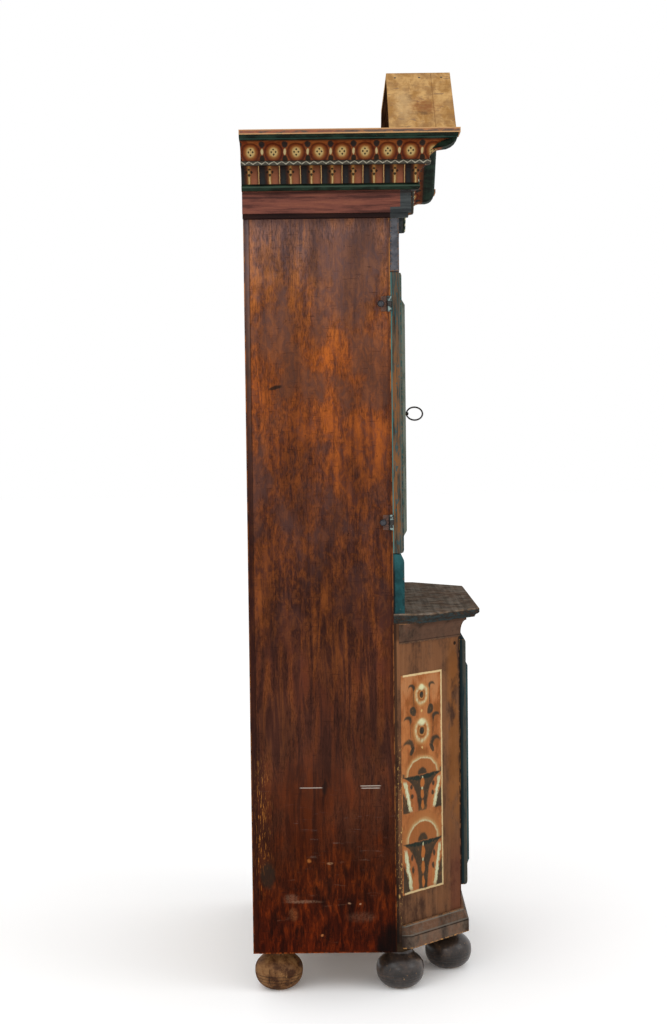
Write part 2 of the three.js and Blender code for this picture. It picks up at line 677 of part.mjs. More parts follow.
const left_panel = door_panel(-half_width, -door_gap / 2, upper_door_bottom, upper_door_top,
  door_back_y, upper_door_thickness, raised_height);
add_pair('upper_door_panel', left_panel, door_green);

const lower_hinge_zs = [lower_door_bottom + lower_hinge_inset, lower_door_top - lower_hinge_inset];
const lower_keyhole = keyhole_tool(lower_key_x, lower_door_face_y - cut_overrun, lower_door_back_y + cut_overrun,
  lower_key_z);
const lower_pockets = lower_hinge_zs.map((z) => leaf_pocket(
  lower_half - leaf_length - joint_gap, lower_half + cut_overrun, lower_door_back_y, z,
));
add('lower_door_frame', door_frame(-lower_half, lower_half, lower_door_bottom, lower_door_top,
  lower_door_back_y, lower_door_thickness, [lower_keyhole, ...lower_pockets]), door_blue);
add('lower_door_panel', door_panel(-lower_half, lower_half, lower_door_bottom, lower_door_top,
  lower_door_back_y, lower_door_thickness, lower_raised_height), door_blue);

// Upper hinges: a pintle with a plate and knob on the side board, and a leaf let into the door's back
const pin_x = -half_width - knuckle_radius - running_gap;
const pin_y = side_front_y + knuckle_radius - leaf_thickness + joint_gap;
const end_knuckle = knuckle_height - joint_gap;
function fixed_knuckles(x, y, z) {
  return [-1, 1].map((side) => rod('z', knuckle_radius, end_knuckle,
    [x, y, z + side * (knuckle_height + joint_gap / 2)]));
}
function side_pintle(z) {
  const plate_x1 = -half_width - joint_gap;
  const plate_x0 = plate_x1 - hinge_plate_thickness;
  const plate_y0 = pin_y + knuckle_radius + running_gap;
  const knob_y = pin_y + hinge_knob_distance;
  const plate = box(plate_x0, plate_x1, plate_y0, knob_y, z - barrel_height / 2 + joint_gap, z + barrel_height / 2 - joint_gap);
  const webs = [-1, 1].map((side) => box(plate_x0, plate_x1, pin_y, plate_y0 + joint_gap,
    z + side * (knuckle_height + joint_gap / 2) - end_knuckle / 2,
    z + side * (knuckle_height + joint_gap / 2) + end_knuckle / 2));
  const knob = new THREE.SphereGeometry(hinge_knob_radius, hinge_segments, hinge_segments / 2);
  knob.rotateX(Math.PI / 2);
  knob.translate(plate_x0 - hinge_knob_radius / 2, knob_y, z);
  const pin = rod('z', pin_radius, barrel_height - joint_gap, [pin_x, pin_y, z]);
  return trim(join(plate, ...webs, ...fixed_knuckles(pin_x, pin_y, z), pin, knob), [plate_x1, 0, 0], [1, 0, 0]);
}
const hinge_places = ['low', 'high'];
upper_hinge_zs.forEach((z, i) => add_pair(`upper_pintle_${hinge_places[i]}`, side_pintle(z), iron));

function leaf_with_knuckle(axis_x, axis_y, tip_x, back_y, z) {
  const leaf = box(Math.min(axis_x, tip_x), Math.max(axis_x, tip_x), back_y - leaf_thickness, back_y,
    z - knuckle_height / 2 + joint_gap, z + knuckle_height / 2 - joint_gap);
  const knuckle = rod('z', knuckle_radius, knuckle_height - 2 * joint_gap, [axis_x, axis_y, z]);
  const bore = rod('z', pin_radius + joint_gap, barrel_height, [axis_x, axis_y, z]);
  return cut(join(knuckle, leaf), bore);
}
upper_hinge_zs.forEach((z, i) => add_pair(`upper_hinge_leaf_${hinge_places[i]}`,
  leaf_with_knuckle(pin_x, pin_y, leaf_tip_x, door_back_y, z), iron));

// Lower hinges: on the right stile of the base
const lower_pin_x = lower_half + knuckle_radius + running_gap;
const lower_pin_y = lower_door_back_y - knuckle_radius;
function front_pintle(z) {
  const plate = box(lower_pin_x + knuckle_radius - joint_gap, base_half_front - running_gap,
    base_front_y - joint_gap - hinge_plate_thickness, base_front_y - joint_gap,
    z - barrel_height / 2 + joint_gap, z + barrel_height / 2 - joint_gap);
  const clearance = rod('z', knuckle_radius + running_gap, knuckle_height + joint_gap, [lower_pin_x, lower_pin_y, z]);
  const webs = [-1, 1].map((side) => box(lower_pin_x, lower_pin_x + 2 * knuckle_radius,
    base_front_y - joint_gap - hinge_plate_thickness, base_front_y - joint_gap,
    z + side * (knuckle_height + joint_gap / 2) - end_knuckle / 2,
    z + side * (knuckle_height + joint_gap / 2) + end_knuckle / 2));
  const pin = rod('z', pin_radius, barrel_height - joint_gap, [lower_pin_x, lower_pin_y, z]);
  return join(cut(plate, clearance), ...webs, ...fixed_knuckles(lower_pin_x, lower_pin_y, z), pin);
}
lower_hinge_zs.forEach((z, i) => {
  add(`lower_pintle_${hinge_places[i]}`, front_pintle(z), iron);
  add(`lower_hinge_leaf_${hinge_places[i]}`, leaf_with_knuckle(
    lower_pin_x, lower_pin_y, lower_half - leaf_length, lower_door_back_y, z,
  ), iron);
});

// Locks: an iron case on the door's back, open towards the door, with a sliding bolt
function lock_case(x0, back_y, key_z, depth) {
  const y0 = back_y + joint_gap;
  const y1 = y0 + depth;
  const z0 = key_z - lock_height / 2;
  const z1 = key_z + lock_height / 2;
  const outer = box(x0, x0 + lock_width, y0, y1, z0, z1);
  const hollow = box(x0 + lock_wall, x0 + lock_width - lock_wall, y0 - cut_overrun, y1 - lock_wall,
    z0 + lock_wall, z1 - lock_wall);
  const bolt_y = back_y + depth - lock_wall - bolt_thickness;
  const bolt_slot = box(x0 - cut_overrun, x0 + lock_wall + cut_overrun, bolt_y - joint_gap, y1 - lock_wall,
    key_z + bolt_rise - joint_gap, key_z + bolt_rise + bolt_height + joint_gap);
  return cut(outer, hollow, bolt_slot);
}
function add_bolt(name, x0, back_y, key_z, depth) {
  const y1 = back_y + depth - lock_wall;
  add(name, new THREE.BoxGeometry(bolt_length, bolt_thickness, bolt_height), iron,
    [x0 + joint_gap + bolt_length / 2, y1 - bolt_thickness / 2, key_z + bolt_rise + bolt_height / 2]);
}
const bolt_back = lock_depth - lock_wall;     // from the upper door's back to the bolt's far side
add('upper_lock_case', lock_case(upper_lock_x, door_back_y, upper_key_z, lock_depth), iron);
add_bolt('upper_lock_bolt', upper_lock_x, door_back_y, upper_key_z, lock_depth);

// Keeper for the bolt, on the back of the left door
const keeper_x1 = -door_gap / 2 - keeper_inset;
const keeper_x0 = keeper_x1 - keeper_width;
const upper_bolt_y1 = door_back_y + bolt_back;
const keeper = box(keeper_x0, keeper_x1, door_back_y + joint_gap, upper_bolt_y1 + keeper_wall,
  upper_key_z + bolt_rise - keeper_wall, upper_key_z + bolt_rise + bolt_height + keeper_wall);
add('upper_lock_keeper', cut(keeper, box(keeper_x0 - cut_overrun, keeper_x1 + cut_overrun,
  upper_bolt_y1 - bolt_thickness - running_gap, upper_bolt_y1 + running_gap,
  upper_key_z + bolt_rise - running_gap, upper_key_z + bolt_rise + bolt_height + running_gap)), iron);

add('lower_lock_case', lock_case(lower_lock_x, lower_door_back_y, lower_key_z, lower_lock_depth), iron);
add_bolt('lower_lock_bolt', lower_lock_x, lower_door_back_y, lower_key_z, lower_lock_depth);

// Key with a ring bow, standing in the upper lock
const bow_centre_y = -(key_reach - bow_radius - bow_wire_radius);
const shank_tip_y = upper_door_thickness + bolt_back;
const collar_y = bow_centre_y + bow_radius + collar_length / 2;
const bow = new THREE.TorusGeometry(bow_radius, bow_wire_radius, 8, 28);
bow.rotateY(Math.PI / 2);
bow.translate(0, bow_centre_y, 0);
const shank_length = shank_tip_y - collar_y;
const shank = rod('y', shank_radius, shank_length, [0, collar_y + shank_length / 2, 0]);
const collar = new THREE.LatheGeometry([
  new THREE.Vector2(0, -collar_length / 2 - bow_wire_radius), new THREE.Vector2(shank_radius, -collar_length / 2),
  new THREE.Vector2(collar_radius, 0), new THREE.Vector2(shank_radius, collar_length / 2),
  new THREE.Vector2(0, collar_length / 2),
], hinge_segments);
collar.translate(0, collar_y, 0);
const bit_y = upper_door_thickness + joint_gap + running_gap;
const bit = box(-bit_thickness / 2, bit_thickness / 2, bit_y, bit_y + bit_width, -bit_length, 0);
const key = join(bow, collar, shank, bit);
const key_mesh = add('key', key, iron, [upper_key_x, upper_door_face_y, upper_key_z]);
key_mesh.rotation.y = bow_tilt;

export default group;
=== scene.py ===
import math

import bpy
import bmesh
from mathutils import Matrix, Vector


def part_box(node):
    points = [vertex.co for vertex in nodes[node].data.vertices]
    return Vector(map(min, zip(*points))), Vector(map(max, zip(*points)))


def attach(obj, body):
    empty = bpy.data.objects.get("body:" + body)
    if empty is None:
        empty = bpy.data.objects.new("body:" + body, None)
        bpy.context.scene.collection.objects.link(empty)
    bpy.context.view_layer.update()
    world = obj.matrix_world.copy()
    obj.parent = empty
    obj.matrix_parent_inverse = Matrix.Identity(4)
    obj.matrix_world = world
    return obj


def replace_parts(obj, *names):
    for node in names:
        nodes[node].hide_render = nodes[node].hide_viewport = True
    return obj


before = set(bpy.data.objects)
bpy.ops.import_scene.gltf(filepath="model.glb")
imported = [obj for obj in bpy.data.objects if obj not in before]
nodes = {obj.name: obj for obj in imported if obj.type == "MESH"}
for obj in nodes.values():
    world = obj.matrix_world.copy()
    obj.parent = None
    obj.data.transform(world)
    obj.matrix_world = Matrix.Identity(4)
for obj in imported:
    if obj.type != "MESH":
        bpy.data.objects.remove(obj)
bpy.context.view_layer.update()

# Every length is in millimetres of the object's own coordinates. MM of them make a metre, Blender's unit.
MM = 1000


def box_mm(name):
    """The low and the high corner of a node's box."""
    return [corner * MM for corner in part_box(name)]


def face(name, end, axis):
    """Where the low (0) or the high (1) end of a node's box lies along an axis, to a tenth."""
    return round(box_mm(name)[end]["xyz".index(axis)], 1)


SIDE_OUTER, SIDE_INNER = (-face("side_board_left", end, "x") for end in (0, 1))
SIDE_LINE = face("side_board_left", 1, "y") - 14            # the line scribed along the rear edge
FRONT_BACK = face("waist_rail", 1, "y")                     # inner face of the upper part's front
UPPER_DOOR, LOWER_DOOR = face("upper_door_frame_left", 0, "y"), face("lower_door_frame", 0, "y")
STILE, RAIL = 74, 84                                        # widths of the members of a door's frame
KEY = [round((a + b) / 2, 1) for a, b in zip(*box_mm("key"))]
CANT_REAR_Y, MITRE_Y = 78, 88          # where a canted board and the cornice's mitre start on the side board
CANT_REAR, CANT_FRONT = -82.5, 138.1   # the canted board's edges, from the middle of its ornament
CROWN_TOP = face("cornice_return_left", 1, "z")             # top of the mouldings over the sides
CORNICE_FOOT = face("cornice_return_left", 0, "z") + 11     # lower edge of the fascia there
CREST_RISE = face("cornice_centre", 1, "z") - CROWN_TOP
CREST_FOOT = -face("cap_slope_left", 0, "x")                # where the cornice starts to rise, from the middle
CREST_RUN = 240                                             # and how far it goes in rising
CAP_TOP = face("cap_return_left", 1, "z")
# the cornice's members, by their height over the fascia's lower edge
TORUS_LOW, COVE_LOW, BEAD_LOW, BEAD_TOP, FRIEZE_TOP, OVOLO_LOW = 50.3, 66, 107, 117, 140, 157
ROSETTE_PITCH, BRACKET_PITCH = 53.6, 49.1
CREAM, LEAF_DARK, ORANGE = "#d3c39b", "#1f2b26", "#e0b070"


def drift_of(seed):
    """Where in the noise a piece lies, so that no two share their grain."""
    return (seed * 611, seed * 347, seed * 913)


def rgb(text):
    parts = [int(text[i:i + 2], 16) / 255 for i in (1, 3, 5)]
    return tuple(c / 12.92 if c <= 0.04045 else ((c + 0.055) / 1.055) ** 2.4 for c in parts) + (1,)


class Value:
    """A number that a material works out at each point of the surface."""

    def __init__(self, paint, socket):
        self.paint, self.socket = paint, socket

    def op(self, kind, *others, clamp=False):
        return self.paint.math(kind, self, *others, clamp=clamp)

    def __add__(self, other): return self.op("ADD", other)
    def __sub__(self, other): return self.op("SUBTRACT", other)
    def __mul__(self, other): return self.op("MULTIPLY", other)
    def __truediv__(self, other): return self.op("DIVIDE", other)
    def __rsub__(self, other): return self.paint.math("SUBTRACT", other, self)
    __radd__, __rmul__ = __add__, __mul__

    def abs(self): return self.op("ABSOLUTE")
    def fract(self): return self.op("FRACT")
    def sqrt(self): return self.op("SQRT")
    def min(self, other): return self.op("MINIMUM", other)
    def max(self, other): return self.op("MAXIMUM", other)
    def unit(self): return self.op("ADD", 0, clamp=True)

    def above(self, edge, soft=1, low=0, high=1):
        """low below the edge, high above it."""
        node = self.paint.node("ShaderNodeMapRange", {
            "Value": self, "From Min": edge - soft / 2, "From Max": edge + soft / 2, "To Min": low, "To Max": high,
        }, interpolation_type="SMOOTHSTEP")
        return Value(self.paint, node.outputs["Result"])

    def below(self, edge, soft=1):
        return self.above(edge, soft, 1, 0)

    def within(self, low, high, soft=1):
        return self.above(low, soft) * self.below(high, soft)

    def near(self, centre, half, soft=1):
        """1 no further than half from the centre."""
        return (self - centre).abs().below(half, soft)


class Paint:
    """One material, built up in layers from the ground colour to the wear."""

    def __init__(self, name, seed=0, roughness=0.5):
        self.material = bpy.data.materials.new(name)
        self.material.use_nodes = True
        self.tree = self.material.node_tree
        self.shader = self.tree.nodes["Principled BSDF"]
        place = self.node("ShaderNodeTexCoord").outputs["Object"]
        scaled = self.vector("MULTIPLY", {0: place, 1: (MM, MM, MM)}, name="scaled")
        self.place = self.vector("ADD", {0: scaled, 1: drift_of(seed)}, name="drift")
        split = self.node("ShaderNodeSeparateXYZ", {0: scaled})
        self.x, self.y, self.z = (Value(self, socket) for socket in split.outputs)
        self.roughness = roughness
        self.colour = self.coat_roughness = self.height = None

    def node(self, kind, inputs=None, **settings):
        """A node with its settings, and what each input is linked or set to."""
        node = self.tree.nodes.new(kind)
        for key, value in settings.items():
            setattr(node, key, value)
        for key, value in (inputs or {}).items():
            self.link(value, node.inputs[key])
        return node

    def vector(self, kind, inputs, **settings):
        return self.node("ShaderNodeVectorMath", inputs, operation=kind, **settings).outputs[0]

    def link(self, source, target):
        if isinstance(source, Value):
            source = source.socket
        if isinstance(source, str):
            source = rgb(source)
        if isinstance(source, (int, float, tuple)):
            target.default_value = source
        else:
            self.tree.links.new(source, target)

    def math(self, kind, *values, clamp=False):
        return Value(self, self.node("ShaderNodeMath", dict(enumerate(values)), operation=kind,
                                     use_clamp=clamp).outputs[0])

    def noise(self, size, detail=4, rough=0.55, warp=0, shift=0):
        """Noise whose features measure size (one number, or three along x, y and z)."""
        sizes = size if isinstance(size, tuple) else (size,) * 3
        offset = shift * 3.7
        place = self.vector("MULTIPLY_ADD", {0: self.place, 1: tuple(1 / s for s in sizes),
                                             2: (offset, offset * 1.7 + 2, offset * 0.6 - 5)})
        return Value(self, self.node("ShaderNodeTexNoise", {
            "Vector": place, "Scale": 1, "Detail": detail, "Roughness": rough, "Distortion": warp}).outputs[0])

    def along(self, axis, across, length, *shape, **more):
        """Noise drawn out along one axis."""
        return self.noise(tuple(length if a == axis else across for a in "xyz"), *shape, **more)

    def mix(self, under, over, mask):
        return self.node("ShaderNodeMix", {0: mask, 6: under, 7: over}, data_type="RGBA").outputs[2]

    def lay(self, colour, mask):
        self.colour = self.mix(self.colour, colour, mask)

    def shade(self, value):
        """Multiplies the colour by a number near 1."""
        self.colour = self.vector("SCALE", {0: self.colour, "Scale": value})

    def tint(self, colour):
        """Multiplies the colour by another."""
        self.colour = self.vector("MULTIPLY", {0: self.colour, 1: colour})

    def ramp(self, value, length, stops):
        """A colour that runs through the stops (position, red, green, blue) from 0 to length."""
        node = self.node("ShaderNodeValToRGB", {0: value / length})
        table = node.color_ramp.elements
        table[0].position, table[1].position = 0, 1
        for place, *colour in stops:
            stop = table[0] if place == 0 else table[-1] if place == length else table.new(place / length)
            stop.color = tuple(c / 2 for c in colour) + (1,)       # halved, because a stop ends at 1
        return self.vector("SCALE", {0: node.outputs[0], "Scale": 2})

    def gloss(self, value, mask):
        """Another roughness where the mask is 1. The coat takes one even roughness between the two."""
        if isinstance(self.roughness, Value):
            self.roughness = self.roughness * (1 - mask) + value * mask
        else:
            self.coat_roughness = self.roughness + 0.4 * (value - self.roughness)
            self.roughness = mask * (value - self.roughness) + self.roughness

    def raise_by(self, value):
        """Adds relief, in millimetres."""
        self.height = value if self.height is None else self.height + value

    def edge(self, name):
        """Distance from the nearest edge of the node's box."""
        low, high = box_mm(name)
        d = [(at - a).min(b - at) for at, a, b in zip((self.x, self.y, self.z), low, high)]
        return d[0].min(d[1]).max(d[0].max(d[1]).min(d[2]))

    def done(self, coat=0, metallic=0, shine=0.09):
        """shine is a thin coat over a dull ground, so that the colours hold at a flat angle too."""
        inputs = {"Base Color": self.colour, "Roughness": self.roughness, "Metallic": metallic,
                  "Specular IOR Level": 0.3 if metallic else 0, "Coat Weight": coat + shine,
                  "Coat Roughness": self.coat_roughness or self.roughness}
        if self.height is not None:
            bump = self.node("ShaderNodeBump", {"Strength": 1, "Distance": 1 / MM, "Height": self.height})
            inputs["Normal"] = inputs["Coat Normal"] = bump.outputs[0]
        for key, value in inputs.items():
            self.link(value, self.shader.inputs[key])
        return self.material


def variant(material, name, mirrored=False, seed=0):
    """The same finish for a twin piece: mirrored, and with its grain and wear elsewhere."""
    twin = material.copy()
    twin.name = name
    steps = twin.node_tree.nodes
    steps["scaled"].inputs[1].default_value = (-MM if mirrored else MM, MM, MM)
    steps["drift"].inputs[1].default_value = drift_of(seed)
    return twin


def dress(material, *names):
    for name in names:
        obj = nodes[name]
        if not obj.material_slots:
            obj.data.materials.append(None)
        for place in obj.material_slots:
            place.link = "OBJECT"
            place.material = material


def dress_pair(name, material, seed=7):
    dress(material, name + "_left")
    dress(variant(material, material.name + "_twin", True, seed), name + "_right")


# Wood under everything: broad streaks and fine pores along the grain.
def grain(p, axis, dark, mid, light, streak=26, length=420):
    broad = p.along(axis, streak, length, 5, 0.6, warp=0.4)
    fine = p.along(axis, 1.7, 80, 3, 0.6, shift=1)
    p.colour = p.mix(dark, mid, broad.above(0.46, 0.22))
    p.lay(light, broad.above(0.6, 0.2) * 0.8)
    p.shade(fine * 0.5 + 0.76)
    p.raise_by(fine * 0.25)


def dents(p, colour, size, amount, strength=0.9):
    """Small knocks where the finish has gone."""
    mask = p.noise(size, 3, 0.7, shift=5).above(amount, 0.03) * strength
    p.lay(colour, mask)
    p.raise_by(mask * -0.3)
    return mask


def spot(u, v, u0, v0, ru, rv, soft=0.35):
    """1 inside an ellipse."""
    du, dv = (u - u0) / ru, (v - v0) / rv
    return (du * du + dv * dv).sqrt().below(1, soft)


# The sides: old red-brown varnish, rubbed through to orange in long streaks.
def side_varnish(name, seed):
    p = Paint("varnish_" + name, seed, roughness=0.38)
    y, z = p.y, p.z
    streak = p.noise((20, 20, 210), 7, 0.66, warp=0.7)
    cloud = p.noise((160, 120, 210), 5, 0.6, shift=2)
    fine = p.along("z", 1.8, 60, 4, 0.65, shift=3)
    flame = p.noise((22, 17, 34), 7, 0.72, warp=0.5, shift=4)
    high = z + (cloud - 0.5) * 900
    p.colour = p.mix("#351204", "#4a281a", high.above(360, 360))
    p.lay("#5b3322", high.above(1080, 360))
    p.lay("#6b3a22", high.above(1380, 260) * 0.9)
    # greyer towards the top, partly a painted sheen
    p.lay("#6b4b40", high.above(1790, 200) * 0.85)
    p.lay("#2a0f07", streak.below(0.44, 0.18) * 0.34)
    p.lay("#b0601f", (streak.above(0.52, 0.2) * cloud.above(0.47, 0.2)) * z.above(620, 700) * 0.36)
    p.lay("#8a3d12", streak.above(0.5, 0.24) * cloud.below(0.5, 0.2) * z.below(900, 500) * 0.3)
    p.lay("#b06424", flame.above(0.53, 0.16) * z.within(850, 1820, 300) * 0.24)
    p.lay("#4b3b3a", flame.below(0.44, 0.16) * z.above(1050, 500) * 0.34)
    p.lay("#4f3a33", cloud.below(0.47, 0.14) * z.above(950, 500) * 0.5)
    foot_zone = (z + (cloud - 0.5) * 300).below(330, 160)
    burl = p.noise((15, 12, 52), 6, 0.66, warp=0.5, shift=17)
    p.lay(p.mix("#2c1006", "#59260b", burl.above(0.48, 0.26)), foot_zone * 0.55)
    p.lay("#8a4313", burl.above(0.57, 0.18) * foot_zone * 0.36)
    p.lay("#150a07", p.noise((40, 30, 62), 5, 0.66, shift=18).above(0.58, 0.14) * foot_zone * 0.55)
    smear = p.noise((60, 60, 9), 5, 0.7, warp=0.4, shift=19)
    p.lay("#8d7d78", smear.above(0.66, 0.1) * z.below(460, 160) * 0.24)
    broad = p.noise((110, 85, 240), 4, 0.5, shift=22)
    p.shade(broad.above(0.5, 0.3, 0.8, 1.2))
    p.shade(fine * 0.5 + 0.75)
    p.shade(flame * 0.32 + 0.85)
    ripple = p.noise((30, 3, 15), 3, 0.7, warp=0.4, shift=7)
    p.shade(1 - ripple.above(0.52, 0.14) * cloud.within(0.44, 0.58, 0.1) * 0.4)
    p.shade(ripple * 0.24 + 0.89)
    # rubbed and knocked places
    scratch = p.noise((3, 46, 2.4), 3, 0.6, warp=0.5, shift=8)
    p.lay("#2b130c", scratch.above(0.66, 0.06) * 0.6)
    tall = p.along("z", 2.4, 22, 3, 0.7, shift=9)
    rear = y.above(244, 40) * z.within(260, 560, 120)
    p.lay("#c07a33", tall.above(0.6, 0.06) * rear * 0.8)
    dents(p, "#c98a50", 4, 0.75, 0.6)
    p.lay("#1c0d08", p.noise((9, 9, 16), 4, 0.7, shift=11).above(0.69, 0.06) * 0.7)
    # marks: a scorched oval, three pale lines at the shelf, two dark knocks high on the rear edge and one below
    wobble = (p.noise(22, shift=12) - 0.5) * 14
    p.lay("#2c2622", spot(y + wobble, z, 247, 290, 17, 31, 0.6) * 0.8)
    for z0, y0, half in ((504.5, 138, 27), (508, -6, 24), (502.5, -6, 22)):
        line = (z - z0 + wobble * 0.06).abs().below(1.1, 1) * y.near(y0, half, 6)
        p.lay("#cdbba2", line * 0.75)
        p.raise_by(line * -0.6)
    p.lay("#191715", spot(y + wobble, z + wobble * 0.3 + (y - 213) * 0.25, 213, 1474, 15, 4.4, 0.6) * 0.85)
    p.lay("#17110e", spot(y + wobble, z, 281, 1515, 9, 24, 0.8) * 0.8)
    p.lay("#1a120e", spot(y + wobble, z, 105, 505, 6, 20, 0.9) * 0.7)
    # single knocks and scuffs: (y, z, half width, half height, colour, strength)
    broken = p.noise((5, 5, 4), 4, 0.7, shift=20).above(0.45, 0.24)
    for y0, z0, wide, high_, tone, strength in (
            (100, 148, 13, 27, "#100705", 0.75), (14, 130, 24, 20, "#120806", 0.6), (116, 142, 4, 3, "#c99d72", 0.9),
            (94, 318, 7, 2.6, "#b8977a", 0.8), (145, 325, 4.4, 4.4, "#b8763e", 0.9), (101, 270, 10, 11, "#1d100c", 0.6),
            (185, 194, 9, 14, "#a87f60", 0.35), (20, 186, 30, 12, "#75655f", 0.35), (23, 219, 3, 2.2, "#c9b5a5", 0.8),
            (47, 219, 3, 2, "#bfa998", 0.7), (161, 225, 38, 3.4, "#988880", 0.55), (190, 234, 16, 9, "#94827a", 0.4)):
        mark = spot(y + wobble * 0.8, z + wobble * 0.5, y0, z0, wide, high_, 1.1)
        p.lay(tone, mark * (broken * 0.85 + 0.15) * (strength * 0.8))
    # the rear edge is darker behind a scribed line, and every edge is rounded and worn
    p.lay(p.mix("#2a1410", "#4c423f", z.above(1400, 500)), y.above(SIDE_LINE + 1, 3) * 0.72)
    groove = y.near(SIDE_LINE, 0.9, 1.2)
    p.lay("#150a07", groove * 0.7)
    p.raise_by(groove * -0.5)
    edge = p.edge(name)
    worn = edge.below(4.5, 7) * p.along("z", 6, 30, 4, 0.7, shift=13).above(0.5, 0.14)
    p.lay("#3a1c10", edge.below(7, 8) * 0.5)
    p.lay("#a3632f", worn * edge.below(2.4, 2.4) * 0.7)
    # the colour tinted by height; near the top it is lighter and bluer, a painted sheen
    p.tint(p.ramp(z, 2000, (
        (0, 0.85, 0.45, 0.25), (120, 0.83, 0.48, 0.28), (310, 0.75, 0.64, 0.5),
        (555, 0.73, 0.8, 1), (800, 0.71, 0.71, 0.9), (1045, 0.64, 0.6, 0.7),
        (1290, 0.8, 0.72, 0.72), (1540, 1.12, 1, 0.85), (1760, 1.1, 1.3, 1.6), (2000, 1.1, 1.3, 1.6))))
    # the burnt lower front corner
    p.lay("#080403", spot(y + wobble * 1.8, z + wobble * 1.4, -56, 112, 40, 62, 0.8) * 0.92)
    p.gloss(0.62, cloud.below(0.45, 0.2) * 0.8)
    p.raise_by(p.noise(40, 3, shift=14) * 1.1)
    p.raise_by(p.along("z", 7, 160, 3, shift=15) * 0.45)
    p.lay(p.mix("#6d5136", "#8d6f4a", streak.above(0.5, 0.2)), p.x.abs().below(SIDE_INNER + 1.5, 1))
    return p.done(coat=0.02, shine=0.06)


def raw_wood(name, axis, seed, dark="#6b5138", mid="#8b6d49", light="#a88a5f"):
    p = Paint("raw_" + name, seed, roughness=0.8)
    grain(p, axis, dark, mid, light, 34, 600)
    p.lay("#4c3a29", p.noise(120, 5, 0.65, shift=2).above(0.57, 0.16) * 0.5)
    knot_noise = p.noise((45, 45, 70), 1, 0.4, shift=4)
    p.lay("#3d2716", knot_noise.above(0.74, 0.05) * 0.8)
    p.lay("#3f2f21", p.edge(name).below(3, 4) * 0.45)
    if name == "bottom_board":
        p.lay("#120b08", p.x.abs().above(SIDE_INNER + 2, 1) * p.y.below(-64, 1) * 0.9)
    return p.done()


def bare_pine(name, seed):
    p = Paint("pine_" + name, seed, roughness=0.72)
    slope = name.startswith("cap_slope")
    if slope:
        across = p.noise((60, 22, 44), 6, 0.6, warp=0.3)
        fine = p.noise((2.6, 40, 2.6), 4, 0.6, shift=1)
    else:
        axis = "x" if name == "cap_centre" else "y"
        across = p.along(axis, 7, 300, 4, 0.6)
        fine = p.along(axis, 1.5, 80, 3, 0.6, shift=1)
    p.colour = p.mix("#9c7342", "#b78f5c", across.above(0.48, 0.2))
    p.lay("#c7a068", across.above(0.58, 0.14) * 0.6)
    stain = p.noise((70, 34, 30), 5, 0.65, warp=0.5, shift=3)
    p.lay("#8d6a46", stain.above(0.52, 0.16) * 0.6)
    p.lay("#6f5a4c", p.noise((60, 34, 11), 4, 0.6, warp=0.8, shift=6).above(0.64, 0.06) * 0.6)
    p.shade(fine * 0.6 + 0.72)
    dents(p, "#4b3626", 6, 0.73, 0.8)
    p.raise_by(fine * 0.4)
    if slope:
        up = p.z - CORNICE_FOOT
        warp = (p.noise(16, 5, 0.7, shift=12) - 0.5) * 46
        patchy = p.noise((9, 14, 7), 5, 0.7, shift=13).above(0.47, 0.2)
        # stains and pale wood round knots
        y, z = p.y + warp, up + warp
        p.lay("#84502f", spot(y, z, -152, 258, 34, 20, 1.5) * (patchy * 0.5 + 0.2))
        p.lay("#5a4632", spot(p.y + warp * 0.7, up + warp * 0.2, -146, 238, 24, 5, 1.5) * patchy * 0.6)
        p.lay("#5d3f28", spot(y, z, -118, 292, 8, 12, 1.5) * patchy * 0.6)
        p.lay("#d2b384", spot(y, z, -104, 262, 18, 44, 1.1) * 0.35)
        joint = (p.y + 176 + warp * 0.05).abs()
        p.lay("#7a5230", joint.below(0.8, 1.8) * 0.6)
        p.raise_by(joint.below(0.7, 1) * -0.5)
    if name.startswith("cap_return"):
        # the moulded edge keeps rubbed grey paint over the pine
        margin = 3.5
        outer, front = -face(name, 0, "x") - margin, face(name, 0, "y") + margin
        rim = p.x.abs().above(outer, 2).max(p.y.below(front, 2))
        p.lay("#9a6745", rim * 0.9)
        rub = p.noise((12, 26, 5), 4, 0.7, shift=8)
        p.lay("#4c4644", rim * rub.above(0.44, 0.12) * p.z.within(CAP_TOP - 8.8, CAP_TOP - 3.3, 2) * 0.85)
        p.lay("#8b4f3c", rim * p.y.above(60, 120) * rub.below(0.54, 0.12) * 0.7)
        p.lay("#3a3430", rim * rub.above(0.62, 0.05) * 0.8)
    p.lay("#e0bd86", p.edge(name).below(1.8, 2) * 0.4)
    return p.done()


